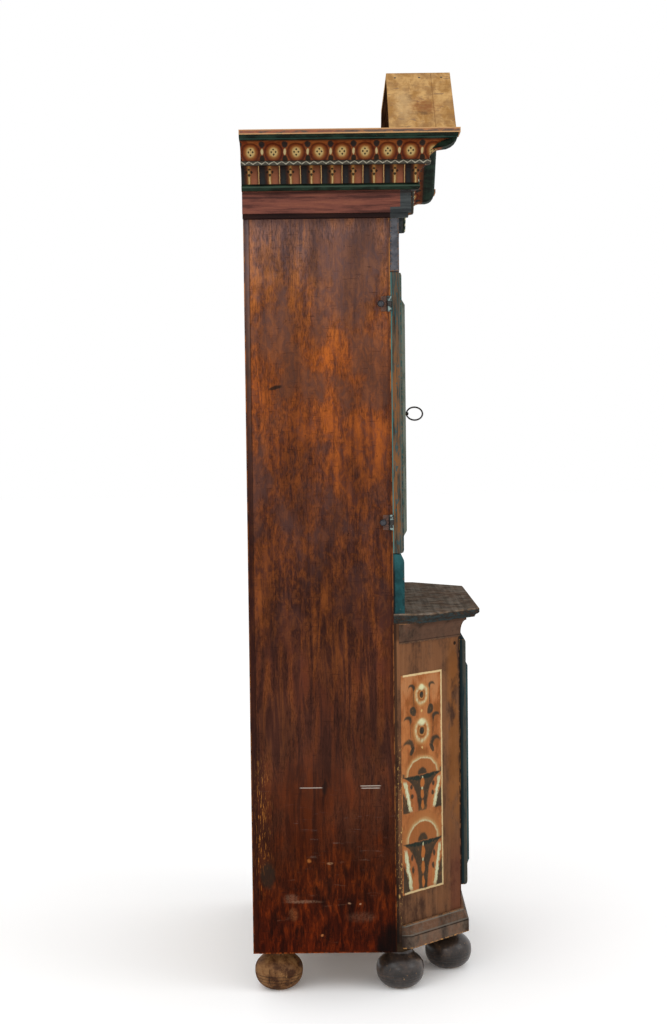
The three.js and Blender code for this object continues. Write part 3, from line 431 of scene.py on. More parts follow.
def foot_wood(name, seed):
    """Worn bare wood at the rear, glossy black-brown paint on the others."""
    low, high = box_mm(name)
    cx, cy = (low.x + high.x) / 2, (low.y + high.y) / 2
    rear = "rear" in name
    p = Paint("foot_" + name, seed, roughness=0.4 if rear else 0.28)
    rings = p.noise((90, 90, 2.6), 3, 0.6)
    cloud = p.noise(28, 5, 0.65, shift=2)
    if rear:
        p.colour = p.mix("#3f2514", "#6d4a2c", cloud.above(0.47, 0.2))
        p.lay("#8a6540", cloud.above(0.58, 0.14) * 0.6)
        p.lay("#2c1a10", p.noise((8, 8, 30), 4, 0.7, shift=3).above(0.62, 0.08) * 0.7)
    else:
        p.colour = p.mix("#1f1916", "#352b26", cloud.above(0.48, 0.2))
        p.lay("#54402f", cloud.above(0.6, 0.12) * 0.6)
    p.shade(rings * 0.5 + 0.75)
    for z0 in (39, 31, 23):                      # lines turned into the belly
        groove = p.z.near(z0, 0.7, 1)
        p.lay("#0c0705", groove * 0.7)
        p.raise_by(groove * -0.7)
    belly = p.z.within(18, 66, 24)
    p.lay("#a87c4a", dents(p, "#8f6a40", 7, 0.68, 0.7) * belly * 0.8)
    p.lay("#8c6b45", p.z.below(5, 6) * p.noise(10, shift=6).above(0.48, 0.12) * 0.8)
    if rear:
        crack = ((p.x - cx) * 0.4 + (p.y - cy)).abs().below(0.7, 1.2) * p.z.within(14, 60, 12)
        p.lay("#0b0604", crack * 0.7)
    p.raise_by(rings * 0.25)
    return p.done(shine=0.2 if rear else 0.9)


# Brown paint of the canted base.
BROWN = ("#3c2519", "#60412c", "#7c563b", "#7c5133")


def brown_ground(p, axis="z", shades=BROWN):
    *wood, glow = shades
    grain(p, axis, *wood, 16, 260)
    p.lay(wood[1], 0.35)
    cloud = p.noise((70, 70, 110), 6, 0.66, shift=21)
    p.lay(glow, cloud.above(0.5, 0.16) * 0.6)
    p.lay("#2a1710", cloud.below(0.42, 0.12) * 0.6)
    p.lay("#1d120d", p.noise((4, 4, 9), 3, 0.6, shift=22).above(0.69, 0.05) * 0.6)


# Folk ornament of rings, leaves, half discs and stems, painted symmetrically about the middle of a column.
# a is the distance from the middle line and t the height, both scaled so that every panel takes the same drawing:
# a is 75 at the column's edge, and t runs from 239 to 775. brush is the unevenness of thin paint, near 0.4 to 0.95.
def stroke(a, z, a0, z0, length, width, turn, bend=0):
    """A tapered brush stroke: 1 inside it."""
    c, s = math.cos(math.radians(turn)), math.sin(math.radians(turn))
    da, dz = a - a0, z - z0
    u = da * (c / length) + dz * (s / length)
    v = da * (-s / width) + dz * (c / width)
    if bend:
        v = v - u * u * bend
    taper = (u * 0.45 + 1).max(0.2)
    return (u * u + (v * v) / taper).below(1, 0.5)


def ring_flower(p, a, t, t0, r, brush, broad=False):
    """A ring of short cream strokes round a brown heart with a dark core, and a cream drop over it.

    On the broad panels the core is four small leaves round a seed.
    """
    dt = (t - t0) * 0.92
    d = (a * a + dt * dt).sqrt()
    rays = p.math("COSINE", p.math("ARCTAN2", dt, a + 0.01) * 12) * 0.22 + 0.72
    p.lay("#b4703c", d.below(r * 1.35, r * 0.5) * 0.6)
    p.lay("#c98f5c", d.near(r * 0.98, r * 0.2, r * 0.4) * 0.6)
    p.lay(CREAM, d.near(r * 0.9, r * 0.11, r * 0.3) * rays * brush)
    p.lay("#84431f", d.below(r * 0.62, r * 0.24) * 0.75)
    p.lay("#c98a50", d.near(r * 0.42, r * 0.05, r * 0.14) * 0.7)
    if broad:
        leaves = p.math("COSINE", p.math("ARCTAN2", dt, a + 0.01) * 4).above(0.1, 0.5)
        p.lay(LEAF_DARK, d.near(r * 0.4, r * 0.14, r * 0.12) * leaves * 0.9)
        p.lay(ORANGE, d.below(r * 0.13, r * 0.1) * 0.9)
    else:
        p.lay("#e0d1a6", spot(a, t, 0, t0 + r * 0.86, r * 0.42, r * 0.34, 0.9) * 0.9)
        p.lay(LEAF_DARK, spot(a, t, 0, t0 - r * 0.02, r * 0.3, r * 0.33, 0.5) * 0.92)


def hook_leaf(p, a, t, a0, t0, size, stem):
    """A crescent leaf that curls outwards over a thin stem."""
    crescent = spot(a, t, a0, t0, size, size * 0.8, 0.45)
    hollow = spot(a, t, a0 + size * 0.3, t0 - size * 0.5, size * 0.85, size * 0.75, 0.45)
    p.lay(LEAF_DARK, crescent * (1 - hollow) * 0.85)
    line = (a - (t - t0) * 0.06 - (a0 - size * 0.55)).abs().below(1.1, 1.4) * t.within(t0 - stem, t0, 6)
    p.lay(LEAF_DARK, line * 0.7)


def half_disc(p, a, t, t0, outer, high, arc, arc_high, brush):
    """A half disc with a cream bow and a dark dome, standing on a dark line."""
    dt = t - t0
    upper = dt.above(0, 3)
    d = ((a / outer) * (a / outer) + (dt / high) * (dt / high)).sqrt()
    p.lay("#aa5c30", d.below(1, 0.06) * upper * 0.8)
    p.lay("#bd7a48", d.below(0.97, 0.5) * upper * 0.5)
    e = ((a / arc) * (a / arc) + (dt / arc_high) * (dt / arc_high)).sqrt()
    p.lay("#9a5028", e.below(0.96, 0.06) * upper * 0.55)
    p.lay("#c99a68", e.near(1.06, 0.07, 0.16) * upper * 0.6)
    bow = e.near(1, 0.03, 0.1) * upper
    p.lay(CREAM, bow * brush * dt.above(arc_high * 0.3, arc_high * 0.7, 0.6, 1))
    p.lay(LEAF_DARK, spot(a, dt, 0, 0, 17, arc_high * 0.42, 0.35) * upper * 0.85)


def stem_group(p, a, t, t0, foot, brush, flare=1):
    """Under a half disc: a flaring dark stem with orange drops, between orange leaves and cream feathers."""
    q = ((t - foot) / (t0 - foot)).unit()
    tall = t.within(foot, t0 - 2, 4)
    wide = q * q * q * q * (46 * flare) + q * 9 + 15
    feather = q * 24 + 41
    p.lay("#b0603a", (a - wide - 8).abs().below(7, 6) * tall * q.below(0.9, 0.1) * 0.7)
    p.lay(LEAF_DARK, (a - feather).above(5, 3) * a.below(72, 3) * tall
          * (q - a * 0.016).below(-0.54, 0.14) * 0.85)
    p.lay(LEAF_DARK, (a - wide).below(0, 6) * tall * 0.86)
    p.lay(LEAF_DARK, (t - t0 + 7 - a * a * 0.0022).abs().below(5.5, 4) * a.below(72 * flare, 3) * 0.86)
    for i, (up, high) in enumerate(((0.76, 0.14), (0.45, 0.13), (0.16, 0.12))):
        p.lay("#c06a33", spot(a, q, 0, up, 7 - i, high, 0.5) * 0.9)
    for up in (0.92, 0.61):
        p.lay(CREAM, spot(a, q, 0, up, 2.6, 0.035, 0.6) * 0.8)
    for up in (0.7, 0.44):
        p.lay(LEAF_DARK, spot(a, q, 33 + up * 10, up, 4.5, 0.07, 0.6) * 0.85)
    ragged = feather + (brush - 0.6) * 6
    p.lay(CREAM, a.near(ragged, 5.6, 3.2) * tall * q.within(0.04, 0.86, 0.1) * (brush * 0.35 + 0.62))
    p.lay("#f0e6c8", (a - feather - 1).abs().below(1.6, 2) * tall * q.within(0.2, 0.7, 0.2) * 0.6)


def side_vine(p, a, t, a0):
    """A wavy stem with leaves to both sides and cream berries."""
    pitch = 67                                   # from one pair of leaves to the next, half a wave
    off = a - (p.math("SINE", t * (math.pi / pitch)) * 6 + a0)
    tall = t.within(256, 757, 6)
    p.lay(LEAF_DARK, off.abs().below(0.9, 1.6) * tall * 0.8)
    dt = ((t / pitch).fract() - 0.5) * pitch
    for side in (-1, 1):
        turn = 42 if side > 0 else 138
        p.lay(LEAF_DARK, stroke(off, dt, side * 9, side * 7, 12, 5.4, turn, 0.25) * tall * 0.85)
    dt = ((t / pitch + 0.5).fract() - 0.5) * pitch
    p.lay(CREAM, spot(off, dt, 0, 0, 3.4, 4.2, 0.6) * tall * 0.85)
    p.lay("#a8562b", spot(off, dt, 0, -1, 1.6, 2, 0.8) * tall * 0.8)


def folk_panel(p, w, z, half, low, high, columns=1, vine=0):
    """Two rings with leaves over two half discs, between low and high, mirrored about w = 0.

    vine is the distance of a side vine from the middle, if the panel has one.
    """
    if columns == 2:
        w, half = w.abs() - half / 2, half / 2
    wob = (p.noise(19, 3, 0.6, shift=31) - 0.5) * 9
    edge, foot, head = 75, 239, 775              # the frame that the motifs are drawn in
    a = ((w + wob) / (half / edge)).abs()
    t = (z - low + (p.noise(16, 3, 0.6, shift=32) - 0.5) * 8) / ((high - low) / (head - foot)) + foot
    brush = p.noise((4, 4, 9), 4, 0.65, shift=33).above(0.46, 0.26) * 0.55 + 0.4
    broad = columns == 2 or vine > 0
    flare = 0.36 if broad else 1
    ring_flower(p, a, t, 723, 21, brush, broad)
    hook_leaf(p, a, t, 37, 742, 12, 46)
    ring_flower(p, a, t, 634, 25, brush, broad)
    p.lay(LEAF_DARK, stroke(a, t, 31, 684, 13, 11, 50) * 0.85)
    hook_leaf(p, a, t, 51, 664, 14, 46)
    hook_leaf(p, a, t, 49, 602, 19, 26)
    p.lay(LEAF_DARK, stroke(a, t, 36, 588, 13, 6, -52) * 0.8)
    for t0 in (683, 592):
        p.lay(ORANGE, spot(a, t, 0, t0, 3, 3, 0.8) * 0.8)
    stem_group(p, a, t, 526, 436, brush, flare)
    stem_group(p, a, t, 361, 240, brush, flare)
    half_disc(p, a, t, 526, 66, 50, 54, 41, brush)
    half_disc(p, a, t, 361, 73, 76, 54, 50, brush)
    if vine:
        side_vine(p, a, t, vine)


def canted_board(name, seed):
    p = Paint("cant_" + name, seed)
    brown_ground(p)
    # w runs across the face from the middle of the ornament, and out is the distance in front of it
    w = (p.x + SIDE_OUTER - (p.y + CANT_REAR_Y)) * math.sqrt(0.5) + CANT_REAR
    out = (p.x + p.y + (SIDE_OUTER + CANT_REAR_Y)) * -math.sqrt(0.5)
    before = out.above(-2, 1).max((p.x + (SIDE_OUTER - 0.5)).below(0, 0.4) * p.y.below(-70, 1.5))
    under = p.colour
    grains = p.noise((2.2, 2.2, 46), 3, shift=25)
    patch = p.noise((34, 34, 60), 6, 0.62, shift=23)
    # the painted field, off the board's middle; only three sides of its cream line are left
    middle, half, low, high = -3, 74.5, 236, 775
    da, dz = (w - middle).abs() - half, (p.z - (low + high) / 2).abs() - (high - low) / 2
    wander = (p.noise(34, 4, 0.6, shift=35) - 0.5) * 5
    d = da.max(dz) + wander * 0.6
    p.colour = p.mix("#9f562e", "#bb6d3d", patch.above(0.5, 0.2))
    p.lay("#84491f", patch.below(0.42, 0.12) * 0.6)
    p.lay("#a4795a", p.z.above(690, 120) * patch.above(0.52, 0.2) * 0.3)
    folk_panel(p, w - middle, p.z, 74, low + 2, high - 2)
    p.lay("#8f5a34", p.noise((7, 7, 13), 4, 0.7, shift=24).above(0.62, 0.08) * 0.5)
    p.tint((0.76, 0.89, 0.88))
    p.colour = p.mix(under, p.colour, d.below(0, 1.5))
    p.shade(grains * 0.5 + 0.75)
    patchy = p.noise(9, 4, 0.7, shift=36)
    cream_line = (d + 2.6 + (patchy - 0.5) * 4).abs().below(2.4, 2.6) * patchy.above(0.36, 0.2)
    p.lay("#cdb788", cream_line * (w.above(-70, 4)) * 0.85)
    p.lay("#5b3a22", d.near(1.2, 1, 1.6) * 0.5)
    p.colour = p.mix(under, p.colour, before)
    # worn strip beside the side board, the peg at the head, a dark front edge
    chips = p.noise((5, 5, 10), 4, 0.75, shift=26)
    p.lay("#d6a963", (w - CANT_REAR).below(6, 7) * p.z.within(190, 600, 140) * chips.above(0.6, 0.05) * 0.9)
    p.lay("#170b06", p.y.above(-72.5, 2) * 0.75)
    p.lay("#5e2a1e", (w - CANT_FRONT).above(-40, 34) * p.z.below(330, 120) * 0.5)
    p.lay("#8b5527", (w - 138).above(-46, 30) * p.z.within(380, 840, 160) * patch.above(0.46, 0.2) * 0.6)
    rim = (w - CANT_FRONT).above(-4, 4) * p.noise(14, shift=27).above(0.42, 0.14)
    p.lay("#0f0a07", rim * 0.85)
    peg = spot(w, p.z, 121, 836, 4.6, 4.6, 0.4)
    p.lay("#120b07", peg * 0.9)
    p.raise_by(peg * 0.8)
    p.lay("#21130c", p.z.above(860, 12) * 0.6)
    p.lay("#0a0605", (w - CANT_REAR + (patch - 0.5) * 30).below(14, 24) * p.z.below(168, 70) * 0.85)
    p.shade(p.z.above(560, 420, 0.86, 1))
    p.shade(w.above(70, 50, 1, 0.93))
    return p.done(coat=0.05)


def base_brown(name, axis, seed, shades=BROWN, rubbed=0.95):
    p = Paint("base_" + name, seed, roughness=0.48)
    brown_ground(p, axis, shades)
    low, high = box_mm(name)
    chips = p.noise((7, 7, 4), 4, 0.75, shift=26)
    p.lay("#190e08", (p.z - low.z - 5).abs().below(0.8, 1.2) * (1 - rubbed) * 0.8)
    p.lay("#c08a4c", (p.z - low.z).below(2.6, 2.6) * chips.above(0.54, 0.06) * rubbed)
    p.lay("#93653c", (high.z - p.z).below(2, 2.4) * chips.above(0.5, 0.08) * 0.6)
    if name.startswith("base_moulding"):
        for z0, tone in ((high.z - 3.5, "#6b675e"), (low.z + 33, "#615c54"), (low.z + 30, "#14100d")):
            p.lay(tone, p.z.near(z0, 1.2, 1.6) * chips.above(0.36, 0.2) * 0.8)
        p.lay("#5b3a26", p.z.within(low.z + 34, high.z - 6, 3) * chips.above(0.48, 0.2) * 0.5)
        p.lay("#0e0907", p.y.above(-84, 24) * 0.75)
    p.raise_by(chips * 0.3)
    return p.done(coat=0.03)


def ledge_wood():
    p = Paint("ledge", 3, roughness=0.8)
    grain(p, "x", "#4a423a", "#625950", "#756b61", 11, 300)
    cloud = p.noise((90, 40, 60), 5, 0.65, shift=2)
    p.lay("#5f4b3d", cloud.above(0.54, 0.14) * 0.7)
    ripple = p.noise((26, 34, 30), 6, 0.72, shift=5)
    p.lay("#3b322a", ripple.below(0.45, 0.1) * 0.7)
    p.lay("#7d7062", ripple.above(0.56, 0.1) * 0.5)
    arris = face("ledge_board", 1, "z") - 3.5     # where the moulded edge ends under the upper face
    edge = p.z.below(arris, 2)
    flecks = p.noise((16, 16, 5), 4, 0.7, shift=4)
    p.lay("#181715", edge * 0.85)
    p.lay("#2c3a3c", edge * flecks.above(0.52, 0.12) * 0.7)
    p.lay("#4d3526", edge * flecks.below(0.4, 0.1) * 0.5)
    p.lay("#7a5f45", p.z.within(arris - 1.5, arris + 3.1, 2) * flecks.above(0.5, 0.12) * 0.5)
    dents(p, "#6b5038", 7, 0.72, 0.6)
    p.lay("#7c6040", p.y.above(FRONT_BACK + 0.3, 0.6) * 0.85)
    return p.done(coat=0.05)


def teal_board(name, base="#1c4a4b", dark="#123031", light="#2f6867", seed=1, axis="x", rub=0.52):
    p = Paint("teal_" + name, seed, roughness=0.46)
    cloud = p.along(axis, 22, 180, 5, 0.62)
    fine = p.along(axis, 1.6, 60, 3, shift=1)
    p.colour = p.mix(dark, base, cloud.above(0.44, 0.2))
    p.lay(light, cloud.above(0.56, 0.16) * 0.6)
    p.shade(fine * 0.4 + 0.8)
    edge = p.edge(name)
    chips = p.noise(6, 4, 0.75, shift=3)
    p.lay("#6b4a2e", edge.below(3.4, 4) * chips.above(rub, 0.06) * 0.85)
    p.lay("#0c1b1c", edge.below(6, 6) * chips.below(0.45, 0.1) * 0.5)
    dents(p, "#7a5a3a", 8, 0.72, 0.8)
    p.raise_by(fine * 0.3 + cloud * 0.4)
    return p


# Painted cornice
def rosette(p, u, v, scale=1):
    """u runs along the moulding in pitches with a rosette at each whole number; v is across, in mm."""
    du = ((u + 0.5).fract() - 0.5) * (ROSETTE_PITCH * scale)
    wob = (p.noise(10, 3, 0.6, shift=41) - 0.5) * 3.4
    du, v = du + wob, v + wob + 5.5 * scale
    low_v = v + 3 * scale
    d = (du * du + low_v * low_v * 1.06).sqrt()
    p.lay("#45190c", d.near(19.5 * scale, 2.6, 3) * 0.75)
    p.lay("#7a3618", d.below(18 * scale, 2) * 0.85)
    p.lay("#b07a42", d.below(13.5 * scale, 8) * 0.85)
    p.lay("#d9bf86", d.below(9.5 * scale, 5) * 0.9)
    diamond = du.abs() + low_v.abs()
    dots = diamond.near(5.6 * scale, 2.1, 1) * ((du.abs() - low_v.abs()).abs()).above(2.4, 1.2)
    p.lay("#191610", dots * 0.95)
    # a dark leaf above and below between two rosettes, and a cream drop
    db = (u.fract() - 0.5) * (ROSETTE_PITCH * scale) + wob
    p.lay("#1f272a", spot(db, v, 0, 15 * scale, 7 * scale, 9.5 * scale, 0.4) * 0.92)
    p.lay("#1a2018", spot(db, v, 0, -16.5 * scale, 6 * scale, 7.5 * scale, 0.4) * 0.92)
    p.lay("#dccb9a", spot(db, v, 0, -2.4, 3 * scale, 6 * scale, 0.5) * 0.9)


def bracket_unit(p, f, v):
    """f runs 0 to 1 over one unit: dark, thin yellow stripe with four dots, terracotta, cream line."""
    f = f + (p.noise(11, 3, 0.6, shift=43) - 0.5) * 0.06
    # the lighter colours fade out up the cove: painted shade in its upper hollow
    below_painted_shade = v.below(-2, 44)
    p.lay("#4a2a18", f.within(0.3, 0.97, 0.1) * 0.85)
    p.lay("#a3644c", f.within(0.56, 0.9, 0.22) * below_painted_shade * 0.9)
    p.lay("#8a5230", f.within(0.38, 0.62, 0.2) * 0.6)
    p.lay("#0d1113", f.below(0.36, 0.26) * 0.96)
    p.lay("#333d42", f.within(0.04, 0.26, 0.2) * below_painted_shade * 0.5)
    p.lay("#a87c3f", f.near(0.5, 0.06, 0.12) * 0.7)
    p.lay("#ead29a", f.near(0.5, 0.025, 0.07) * below_painted_shade * 0.9)
    p.lay("#2a1810", f.near(0.93, 0.015, 0.05) * 0.6)
    p.lay("#d9bb84", f.near(0.968, 0.014, 0.026) * 0.9)
    du = (f - 0.5) * BRACKET_PITCH
    dv = v + 1
    diamond = du.abs() + dv.abs()
    p.lay("#14130d", diamond.near(6.4, 2.7, 1.4) * ((du.abs() - dv.abs()).abs()).above(2, 1.6) * 0.92)


def cove_place(p, h, low, high):
    """How far round the hollow of a cove a point lies, from -0.5 to 0.5."""
    return p.math("ARCSINE", ((h - low) / (high - low)).unit()) * (2 / math.pi) - 0.5


def cornice_paint(name, kind, seed):
    p = Paint("painted_" + name, seed, roughness=0.45)
    # h is the height over the fascia's lower edge, and u runs along the moulding, from where its ornament starts
    x = p.x
    if kind == "return":
        h = p.z - CORNICE_FOOT
        front = (x + SIDE_OUTER - (p.y + MITRE_Y)).above(-1, 0.4)      # the level corner, beyond the mitre
        u = (259.9 - p.y) * (1 - front) + (x + 560) * front
    elif kind == "slope":
        length = math.hypot(CREST_RISE, CREST_RUN)
        c, s = CREST_RUN / length, CREST_RISE / length
        dx, dz = x + (CREST_FOOT - CREST_RUN), p.z - (CROWN_TOP + CREST_RISE)
        h = dz * c - dx * s + (CROWN_TOP - CORNICE_FOOT)
        u = dx * c + dz * s + 400
    else:
        h = p.z - CORNICE_FOOT - CREST_RISE
        u = x + 536
    # terracotta ground for the two coves
    cloud = p.noise(26, 5, 0.65)
    p.colour = p.mix("#74331a", "#96532c", cloud.above(0.48, 0.2))
    ground = p.colour
    frieze_top = OVOLO_LOW if kind == "return" else FRIEZE_TOP
    v = cove_place(p, h, BEAD_TOP, frieze_top)
    if kind == "return":
        rosette(p, u / ROSETTE_PITCH, v * 50)
        p.lay(ground, front * h.above(FRIEZE_TOP - 2, 2))
    else:
        small = 0.72
        rosette(p, u / (ROSETTE_PITCH * small), v * 36, small)
    rosettes = p.colour
    p.colour = ground
    f = (((u - 18.9) if kind == "return" else u) / BRACKET_PITCH).fract()
    bracket_unit(p, f, cove_place(p, h, COVE_LOW, BEAD_LOW) * 44)
    p.colour = p.mix(rosettes, p.colour, h.within(COVE_LOW + 0.2, BEAD_LOW + 0.2, 0.6))
    # the two coves darkened, as painted shade under the cornice's overhang
    p.tint((0.62, 0.59, 0.52))
    # green-black mouldings
    green = p.mix("#0f160f", "#1c2b20", p.noise((40, 40, 14), shift=3).above(0.5, 0.2))
    ovolo = h.above(frieze_top + 0.2, 0.6)
    if kind == "return":
        ovolo = ovolo.max(front * h.above(FRIEZE_TOP, 1))
    torus = h.within(TORUS_LOW, COVE_LOW + 0.3, 0.8)
    p.lay(green, ovolo.max(torus))
    # painted highlights: a pale line along the torus's middle and one along the ovolo's foot
    p.lay("#4c6152", h.near(59.5, 1.6, 4) * 0.5)
    p.lay("#35524a", h.near(OVOLO_LOW + 2.5, 0.8, 1.4) * 0.5)
    # rope: cream zigzag on grey over the bead
    tri = ((u / 19 + cloud * 0.4).fract() - 0.5).abs() * 12 - 3
    bead = h.within(BEAD_LOW - 0.6, BEAD_TOP + 0.2, 0.8)
    off = (h - (BEAD_LOW + BEAD_TOP) / 2 - tri).abs()
    p.lay(p.mix("#45423a", "#aba592", off.below(1, 2.8) * p.noise(5, 3, 0.7, shift=44).above(0.4, 0.16)), bead)
    p.raise_by(bead * off.below(2.6, 3) * 1.2)
    if kind != "return":
        dash = ((u / 24).fract() - 0.5).abs().below(0.2, 0.1)
        p.lay("#d8cda9", torus * dash * h.within(53, 63, 2) * 0.8)
    # fascia and the band under it; the band is painted dark as the shadow under the fascia
    wood = p.along("y" if kind == "return" else "x", 12, 160, 5, 0.65, shift=5)
    grey = p.mix("#2b2e2f", "#404444", wood.above(0.48, 0.2))
    fascia = h.below(TORUS_LOW, 0.6)
    if kind == "return":
        brown = p.mix("#452823", "#6d3f34", wood.above(0.46, 0.18))
        brown = p.mix(brown, "#7f4c3a", wood.above(0.58, 0.14) * 0.7)
        on_front = (p.y + h.above(12, 1) * 24).below(-67, 1)
        p.lay(p.mix(brown, grey, on_front), fascia)
        # painted shadow under the fascia, near-black on the sides
        p.lay("#130706", h.below(-0.2, 0.6) * (1 - on_front) * 0.92)
        # the fascia's top painted darker, as shade under the torus
        p.lay("#231310", h.within(44, TORUS_LOW, 5) * 0.6)
    else:
        p.lay(grey, fascia)
        # the band painted darker, as shadow under the fascia
        p.lay("#222a2c", h.below(-0.2, 0.6) * 0.5)
    # wear, and a dark line where two members meet
    rub = p.noise((5, 8, 4), 4, 0.75, shift=6)
    p.lay("#8d6237", rub.above(0.7, 0.04) * 0.7)
    p.shade(p.noise(3, 3, shift=7) * 0.3 + 0.85)
    for level in (COVE_LOW, BEAD_LOW, BEAD_TOP, frieze_top):
        p.lay("#1d1712", h.near(level, 0.8, 1.2) * 0.55)
    p.raise_by(cloud * 0.4 + rub * 0.2)
    p.gloss(0.3, ovolo.max(torus) * 0.9)
    return p.done(coat=0.05)


# Doors: painted fronts, edges rubbed to bare wood.
def door_back(p, across=None):
    """The bare pine of a door's inner face. Its grain turns where across is 1."""
    def board(axis, shift):
        broad = p.along(axis, 30, 460, 5, 0.6, warp=0.5, shift=shift)
        fine = p.along(axis, 1.7, 90, 3, 0.6, shift=shift + 1)
        return broad * 0.75 + fine * 0.25
    tone = board("z", 43)
    if across is not None:
        tone = tone * (1 - across) + board("x", 46) * across
    return p.mix("#4d3926", "#866848", tone.above(0.5, 0.26))


def door_frame(name, lower, seed):
    low, high = box_mm(name)
    shades = ("#11252a", "#09161a", "#1b3a3e") if lower else ("#2b4a47", "#1b3130", "#4c6a60")
    p = teal_board(name, *shades, seed=seed, axis="z")
    # mortised rails between the stiles
    inwards = (p.x - low.x).min(high.x - p.x)
    rail = inwards.above(STILE, 0.8)
    joint = inwards.near(STILE, 0.5, 0.8)
    p.lay("#0b1314", joint * 0.8)
    p.raise_by(joint * -0.5)
    cross = p.along("x", 14, 240, 5, 0.6, warp=0.4, shift=41).above(0.5, 0.26)
    p.lay(p.mix("#0b1a1e", "#183338", cross) if lower else p.mix("#213c3a", "#3f5f57", cross), rail * 0.8)
    side = inwards.below(1.2, 1)
    bare = p.along("z", 7, 90, 5, 0.7, shift=9)
    if not lower:
        worn = p.mix("#33291f", "#56483a", bare.above(0.45, 0.2))
        worn = p.mix(worn, "#6e4527", bare.above(0.6, 0.1) * 0.7)
        worn = p.mix(worn, "#2f3f3e", p.along("z", 5, 40, shift=10).above(0.53, 0.1) * 0.8)
        p.lay(worn, side)
        p.lay("#84501f", side * p.z.within(1120, 1560, 120) * bare.above(0.5, 0.16) * 0.6)
        p.lay("#22484c", side * p.noise((9, 7, 26), 4, 0.7, shift=16).above(0.6, 0.06) * 0.8)
        p.lay("#4d5049", (p.y - low.y).below(6.5, 2) * side * 0.9)
        p.lay("#3d7472", (p.y - high.y).above(-2.6, 1.4) * side * 0.9)
    else:
        p.lay("#16272a", side * 0.8)
        # the rear of the edge painted near-black: painted shadow in the gap beside the canted board
        p.lay("#05080a", side * (p.y - low.y).above(14.5, 3) * 0.9)
        corner = inwards.below(7.5, 2) * (p.y - low.y).below(9, 3)
        p.lay("#45433a", corner * bare.above(0.42, 0.16) * 0.75)
        p.lay("#b98b4c", p.edge(name).below(1.6, 2) * bare.above(0.56, 0.06) * 0.9)
    p.lay(door_back(p, rail), p.y.above(high.y - 0.6, 0.6))
    return p.done(coat=0.06)


def door_panel(name, lower, seed):
    low, high = box_mm(name)
    p = Paint("panel_" + name, seed, roughness=0.45)
    half, tall = (high.x - low.x) / 2, (high.z - low.z) / 2
    w, z = p.x - (low.x + high.x) / 2, p.z
    d = (w.abs() - half).max((z - (low.z + high.z) / 2).abs() - tall)
    patch = p.noise((60, 60, 80), 5, 0.62, shift=23)
    p.colour = p.mix("#93502a", "#ab6636", patch.above(0.5, 0.2))
    p.lay("#7c4020", patch.below(0.42, 0.1) * 0.6)
    foot, head = low.z + 54, high.z - 54         # the field inside the bands
    if lower:
        folk_panel(p, w, z, half - 58, foot, head, columns=2)
    else:
        folk_panel(p, w, z, 72, foot, head, vine=99)
    p.shade(p.noise((2.4, 2.4, 50), 3, shift=25) * 0.35 + 0.82)
    shades = ("#142b2f", "#213f42") if lower else ("#45493f", "#5f6459")
    p.lay(p.mix(*shades, p.noise((14, 14, 40), shift=27).above(0.48, 0.2)), d.above(-42, 0.8))
    p.lay("#c9b084", d.near(-43.4, 1.3, 1.2) * 0.85)
    p.lay("#7c3319", d.near(-26, 6, 1.6) * 0.8)
    p.lay("#191f1c", d.near(-14, 0.9, 1.2) * 0.6)
    chips = p.noise(6, 4, 0.75, shift=3)
    p.lay("#8a623c", d.above(-3, 3) * chips.above(0.54, 0.06) * 0.8)
    p.lay("#8a623c", d.near(-14, 1.6, 1.6) * chips.above(0.58, 0.06) * 0.7)
    dents(p, "#7a5230", 7, 0.72, 0.7)
    p.lay(door_back(p), p.y.above(high.y - 1, 0.6))
    p.raise_by(patch * 0.5)
    return p.done(coat=0.06)


def iron(name, varnished=False):
    """Black iron with some rust. The fixed hinge plates are varnished over with the side."""
    p = Paint(name, 5)
    dimple = p.noise(4, 3, 0.6)
    p.colour = p.mix("#0e0d0c", "#26231f", dimple.above(0.5, 0.3))
    rust = p.noise(9, 5, 0.7, shift=2)
    p.lay("#3f2417", rust.above(0.6, 0.1) * 0.6)
    p.lay("#5d5852", p.noise(2.2, 2, shift=3).above(0.66, 0.08) * 0.4)
    p.gloss(0.75, rust.above(0.58, 0.1))
    p.raise_by(dimple * 0.5)
    if varnished:
        plate_x = SIDE_OUTER + 4                     # outer face of the plate
        behind = p.y.above(-56.5, 1.5)
        plate = p.x.above(-plate_x, 0.4) * behind
        p.lay(p.mix("#3a2016", "#5a3624", dimple.above(0.45, 0.3)), plate * 0.95)
        ball = p.x.below(-plate_x, 0.4) * behind
        p.lay("#34353c", ball * dimple.above(0.4, 0.3) * 0.8)
        p.gloss(0.26, ball)
        # pale sage spots on the knuckles: traces of paint, and a painted highlight
        p.lay("#8ba19c", p.noise((7, 7, 6), 3, shift=5).above(0.5, 0.08) * p.y.below(-60, 2) * 0.75)
    return p.done(metallic=0.3, shine=0.4)


def frieze():
    p = teal_board("frieze_board", "#57575b", "#46474b", "#656569", 2)
    # the back, seen through the gap behind the crest: bare wood, painted nearly black as shade in the hollow
    streak = p.along("x", 12, 260, 6, 0.66, shift=9)
    bare = p.mix("#150a06", "#40291a", streak.above(0.5, 0.24))
    bare = p.mix(bare, "#0c0604", p.noise((70, 70, 50), 5, 0.65, shift=10).above(0.54, 0.14) * 0.6)
    p.lay(bare, p.y.above(FRONT_BACK - 0.5, 0.4))
    p.roughness = 0.9
    return p.done(shine=0)


def waist():
    p = teal_board("waist_rail", "#153c3f", "#102f32", "#1d494c", rub=0.62)
    # the rear 4 mm painted near-black, as shade where the rail meets the parts behind it
    p.lay("#06090a", (p.y - FRONT_BACK).above(-4, 2) * 0.85)
    # the top made lighter, a painted highlight
    p.lay("#346a6c", p.z.above(1040, 50) * 0.35)
    return p.done(coat=0.08)


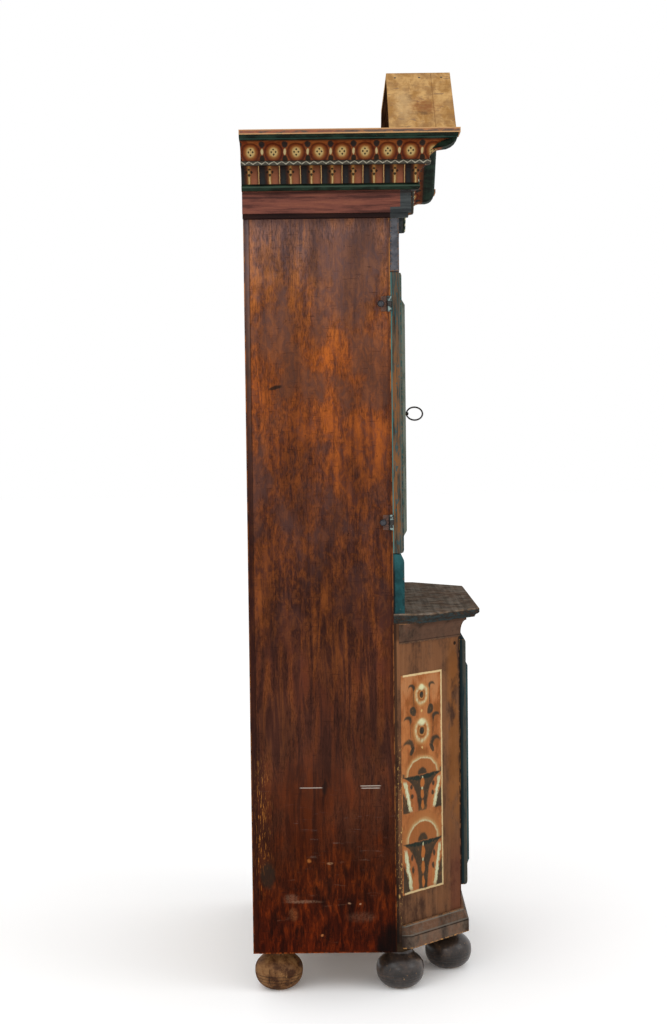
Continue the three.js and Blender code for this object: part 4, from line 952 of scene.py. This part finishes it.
def peg_wood():
    p = Paint("peg_wood", 2, roughness=0.7)
    tone = p.noise(6, 3, 0.6)
    p.colour = p.mix("#2e2a22", "#5b5244", tone.above(0.48, 0.2))
    p.lay("#7a5a3a", p.noise(3, 2, shift=2).above(0.62, 0.08) * 0.7)
    return p.done()


# Materials for every node
dress_pair("side_board", side_varnish("side_board_left", 1))
dress(raw_wood("back_panel", "z", 2, "#5d4833", "#7c6245", "#957a56"), "back_panel")
shelf = raw_wood("bottom_board", "x", 3)
dress(shelf, "bottom_board")
for i, name in enumerate(["lower_shelf", "upper_shelf_low", "upper_shelf_high", "top_board"]):
    dress(variant(shelf, "raw_" + name, seed=4 + i), name)
dress_pair("canted_board", canted_board("canted_board_left", 4))
dress(base_brown("base_frame", "z", 2), "base_frame")
plinth = base_brown("base_moulding_left", "x", 3, ("#3a312a", "#51463c", "#675a4d", "#735441"))
dress_pair("base_moulding", plinth)
dress(variant(plinth, "plinth_front", seed=9), "base_moulding_front")
cove = base_brown("ledge_cove_left", "x", 6, ("#2d231c", "#453429", "#594637", "#614434"), 0.15)
dress_pair("ledge_cove", cove)
dress(variant(cove, "cove_front", seed=9), "ledge_cove_front")
dress(ledge_wood(), "ledge_board")
dress(waist(), "waist_rail")
dress(frieze(), "frieze_board")
dress_pair("cornice_return", cornice_paint("cornice_return_left", "return", 1))
dress_pair("cornice_slope", cornice_paint("cornice_slope_left", "slope", 5))
dress(cornice_paint("cornice_centre", "centre", 8), "cornice_centre")
dress(bare_pine("cap_centre", 1), "cap_centre")
dress_pair("cap_slope", bare_pine("cap_slope_left", 2))
dress_pair("cap_return", bare_pine("cap_return_left", 3))
dress_pair("upper_door_frame", door_frame("upper_door_frame_left", False, 1))
dress_pair("upper_door_panel", door_panel("upper_door_panel_left", False, 1))
dress(door_frame("lower_door_frame", True, 5), "lower_door_frame")
dress(door_panel("lower_door_panel", True, 5), "lower_door_panel")
bare_iron, plate_iron = iron("iron"), iron("plate_iron", varnished=True)
dress(bare_iron, *[n for n in nodes if "hinge" in n or "pintle" in n or "lock" in n or n == "key"])
for name in ("upper_pintle_low", "upper_pintle_high"):
    dress_pair(name, plate_iron)
rear_foot, dark_foot = foot_wood("foot_rear_left", 2), foot_wood("foot_middle_left", 3)
pegs = peg_wood()


# Small pieces on the outside: feet, escutcheons, pegs of the doors' joints, nails of the boards on the cornice
def new_object(name, data):
    obj = bpy.data.objects.new(name, data)
    bpy.context.scene.collection.objects.link(obj)
    return obj


def add_piece(name, bm, body, material):
    bmesh.ops.recalc_face_normals(bm, faces=bm.faces)
    mesh = bpy.data.meshes.new(name)
    bm.to_mesh(mesh)
    bm.free()
    mesh.materials.append(material)
    obj = new_object(name, mesh)
    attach(obj, body)
    return obj


def facing(x, y, z, normal=(0, -1, 0)):
    """A frame at the point, whose third axis is the normal and whose second points up."""
    out = Vector(normal).normalized()
    across = Vector((0, 0, 1)).cross(out) if abs(out.z) < 0.99 else Vector((1, 0, 0))
    across.normalize()
    return Matrix.Translation((x / MM, y / MM, z / MM)) @ Matrix((across, out.cross(across), out)).transposed().to_4x4()


def oval(sides, out, radius, high=None, wave=0, grow=0):
    """A closed loop of points (across, up, out) in metres, with four waves round it and grown by a margin."""
    points = []
    for i in range(sides):
        t = 2 * math.pi * i / sides
        size = 1 + wave * (0.13 * math.cos(4 * t) + 0.05 * math.cos(8 * t))
        points.append(((radius * size + grow) * math.cos(t) / MM,
                       ((high or radius) * size + grow) * math.sin(t) / MM, out / MM))
    return points


def bridge(bm, place, loops, closed=False, smooth=False):
    """Joins loops by quads, placed by a matrix. closed joins the last to the first."""
    rows = [[bm.verts.new(place @ Vector(point)) for point in loop] for loop in loops]
    for row, after in zip(rows, rows[1:] + rows[:1] if closed else rows[1:]):
        for i in range(len(row)):
            j = (i + 1) % len(row)
            bm.faces.new((row[i], row[j], after[j], after[i])).smooth = smooth
    return rows


def dome(bm, place, radius, height, sides=12, rows=3):
    """A closed round head standing on the plane of the frame, and sunk a little into it."""
    turns = [math.pi / 2 * row / rows for row in range(rows)]
    loops = [oval(sides, -0.2, radius)] + [oval(sides, height * math.sin(t), radius * math.cos(t)) for t in turns]
    rings = bridge(bm, place, loops)
    top = bm.verts.new(place @ Vector((0, 0, height / MM)))
    for i in range(sides):
        bm.faces.new((rings[-1][i], rings[-1][(i + 1) % sides], top))
    bm.faces.new(list(reversed(rings[0])))


def turned(bm, place, profile, sides):
    """A closed turned solid: profile is (height, radius) along the frame's third axis."""
    rings = bridge(bm, place, [oval(sides, height, radius) for height, radius in profile], smooth=True)
    bm.faces.new(rings[0])
    bm.faces.new(list(reversed(rings[-1])))


def smooth_profile(points, steps=4):
    """A curve through the points."""
    out = []
    for i in range(len(points) - 1):
        a, b, c, d = (points[max(0, min(len(points) - 1, i + k))] for k in (-1, 0, 1, 2))
        for k in range(steps):
            t = k / steps
            out.append(tuple(0.5 * (2 * q + (r - o) * t + (2 * o - 5 * q + 4 * r - w) * t * t
                                    + (3 * q - o - 3 * r + w) * t ** 3) for o, q, r, w in zip(a, b, c, d)))
    return out + [points[-1]]


def escutcheon(name, x, y, z, body):
    """A forged plate with waisted outline round a keyhole, held by two nails."""
    bm = bmesh.new()
    rim = [oval(48, out, 13.5, 25, 1, grow) for out, grow in ((0.2, 0), (1, 0), (1.8, -1.2))]
    hole = [oval(48, out, radius) for out, radius in ((1.8, 7.2), (1.3, 6.4), (0.2, 6.2))]
    bridge(bm, facing(x, y, z), rim + hole, closed=True)
    for dz in (-17.5, 17.5):
        dome(bm, facing(x, y - 1.8, z + dz), 2.4, 1.2)
    add_piece(name, bm, body, bare_iron)


def door_pegs(name, node, body):
    """Pegs that draw the joints of the door's frame together."""
    low, high = box_mm(node)
    bm = bmesh.new()
    for x in (low.x + STILE / 2, high.x - STILE / 2):
        for z in (low.z + RAIL * 0.32, low.z + RAIL * 0.7, high.z - RAIL * 0.32, high.z - RAIL * 0.7):
            wander = math.sin(x * 1.7 + z * 0.9) * 3
            dome(bm, facing(x + wander, low.y, z + wander * 0.4), 4, 0.9, sides=9, rows=2)
    add_piece(name, bm, body, pegs)


# Turned feet: an onion-shaped bun with a drawn-in neck, (height, radius) from the neck to the floor
BUN = smooth_profile(((97.7, 34), (92, 32), (87, 32.6), (81, 37.6), (74, 45.4), (66, 52.6), (56, 57.6), (44, 59),
                      (32, 57.8), (22, 54.4), (13, 48.4), (6.5, 41), (2, 33.4), (0, 29)))
for row, material, seed in (("rear", rear_foot, 2), ("middle", dark_foot, 3), ("front", dark_foot, 5)):
    for mirrored, side in enumerate(("left", "right")):
        place = row + "_" + side
        low, high = box_mm("foot_" + place)
        bun = bmesh.new()
        turned(bun, facing((low.x + high.x) / 2, (low.y + high.y) / 2, 0, (0, 0, 1)), BUN, 64)
        finish = variant(material, "finish_foot_" + place, mirrored, seed + 6 * mirrored)
        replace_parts(add_piece("bun_" + place, bun, "carcass", finish), "foot_" + place)

COLLAR = smooth_profile(((0, 2.6), (1.5, 5.2), (4, 5.6), (6.5, 5), (8, 3.2), (9.5, 3), (11, 4.4), (13, 4.4),
                         (15, 2.4)), 3)
collar = bmesh.new()
turned(collar, facing(KEY[0], -110, KEY[2]), COLLAR, 24)
add_piece("key_collar", collar, "key", bare_iron)

escutcheon("upper_escutcheon", KEY[0], UPPER_DOOR, KEY[2], "upper_door_right")
escutcheon("lower_escutcheon", -209.5, LOWER_DOOR, 547, "lower_door")
door_pegs("upper_door_pegs_left", "upper_door_frame_left", "upper_door_left")
door_pegs("upper_door_pegs_right", "upper_door_frame_right", "upper_door_right")
door_pegs("lower_door_pegs", "lower_door_frame", "lower_door")

nails = bmesh.new()


def nail(x, y, z, normal=(0, 0, 1)):
    dome(nails, facing(x, y, z, normal), 3.2, 1.1, sides=8, rows=2)


CAP_THICK = 11.2
angle = math.atan2(CREST_RISE, CREST_RUN)
for side in (-1, 1):
    normal = (side * math.sin(angle), 0, math.cos(angle))
    for part in (0.07, 0.93):
        for y in (-206, -150, -92):
            x = side * (CREST_FOOT - CREST_RUN * part) + normal[0] * CAP_THICK
            nail(x, y + 5 * math.sin(y + x), CROWN_TOP + CREST_RISE * part + normal[2] * CAP_THICK, normal)
    for y in (-200, -80, 40, 160, 262):
        for x in (545, 446):
            nail(side * x, y, CAP_TOP)
for x in (-205, -70, 70, 205):
    for y in (-205, -95):
        nail(x, y, CAP_TOP + CREST_RISE)
add_piece("cornice_nails", nails, "carcass", bare_iron)

# Floor, light and camera, in metres
WHITE = (1, 1, 1, 1)
FLOOR_HALF = 30
floor_mesh = bpy.data.meshes.new("floor")
floor_mesh.from_pydata([(-FLOOR_HALF, -FLOOR_HALF, 0), (FLOOR_HALF, -FLOOR_HALF, 0), (FLOOR_HALF, FLOOR_HALF, 0),
                        (-FLOOR_HALF, FLOOR_HALF, 0)], [], [(0, 1, 2, 3)])
floor_paper = bpy.data.materials.new("floor_paper")
floor_paper.use_nodes = True
for key, value in {"Base Color": WHITE, "Roughness": 1, "Specular IOR Level": 0, "Emission Color": WHITE,
                   "Emission Strength": 0.05}.items():
    floor_paper.node_tree.nodes["Principled BSDF"].inputs[key].default_value = value
floor_mesh.materials.append(floor_paper)
floor = new_object("floor", floor_mesh)

world = bpy.data.worlds.new("studio")
world.use_nodes = True
world.node_tree.nodes["Background"].inputs["Color"].default_value = WHITE
world.node_tree.nodes["Background"].inputs["Strength"].default_value = 1
bpy.context.scene.world = world


def softbox(name, place, target, size, watts):
    light = bpy.data.lights.new(name, "AREA")
    light.shape = "RECTANGLE"
    light.size, light.size_y = size
    light.energy = watts
    lamp = new_object(name, light)
    lamp.location = place
    lamp.rotation_euler = (Vector(target) - Vector(place)).to_track_quat("-Z", "Y").to_euler()


softbox("key_light", (-3.2, 2.4, 3.6), (-0.4, 0.1, 1.2), (2.4, 2.4), 22)
softbox("window_light", (-4.3, 0.75, 1.45), (-0.4, -0.1, 0.1), (0.9, 0.9), 9)
softbox("front_light", (-2.2, -4, 2.6), (0, -0.1, 1.2), (2.6, 2.6), 30)

# the camera that took the picture: focal length and height in pixels, place, and turns in radians
FOCAL, IMAGE_HEIGHT, SENSOR = 1757, 1024, 36
EYE = Vector((-4.6545, 0.0591, 1.3789))
YAW, PITCH, ROLL = 0.00401, 0.04847, -0.01197
forward = Vector((math.cos(YAW) * math.cos(PITCH), math.sin(YAW) * math.cos(PITCH), -math.sin(PITCH)))
right = Vector((math.sin(YAW), -math.cos(YAW), 0))
up = right.cross(forward)
right, up = (right * math.cos(ROLL) + up * math.sin(ROLL), up * math.cos(ROLL) - right * math.sin(ROLL))
camera_data = bpy.data.cameras.new("camera")
camera_data.sensor_fit = "VERTICAL"
camera_data.sensor_height = SENSOR
camera_data.lens = FOCAL * SENSOR / IMAGE_HEIGHT
camera = new_object("camera", camera_data)
camera.matrix_world = Matrix.Translation(EYE) @ Matrix((right, up, -forward)).transposed().to_4x4()
bpy.context.scene.camera = camera
bpy.context.scene.view_settings.view_transform = "Standard"
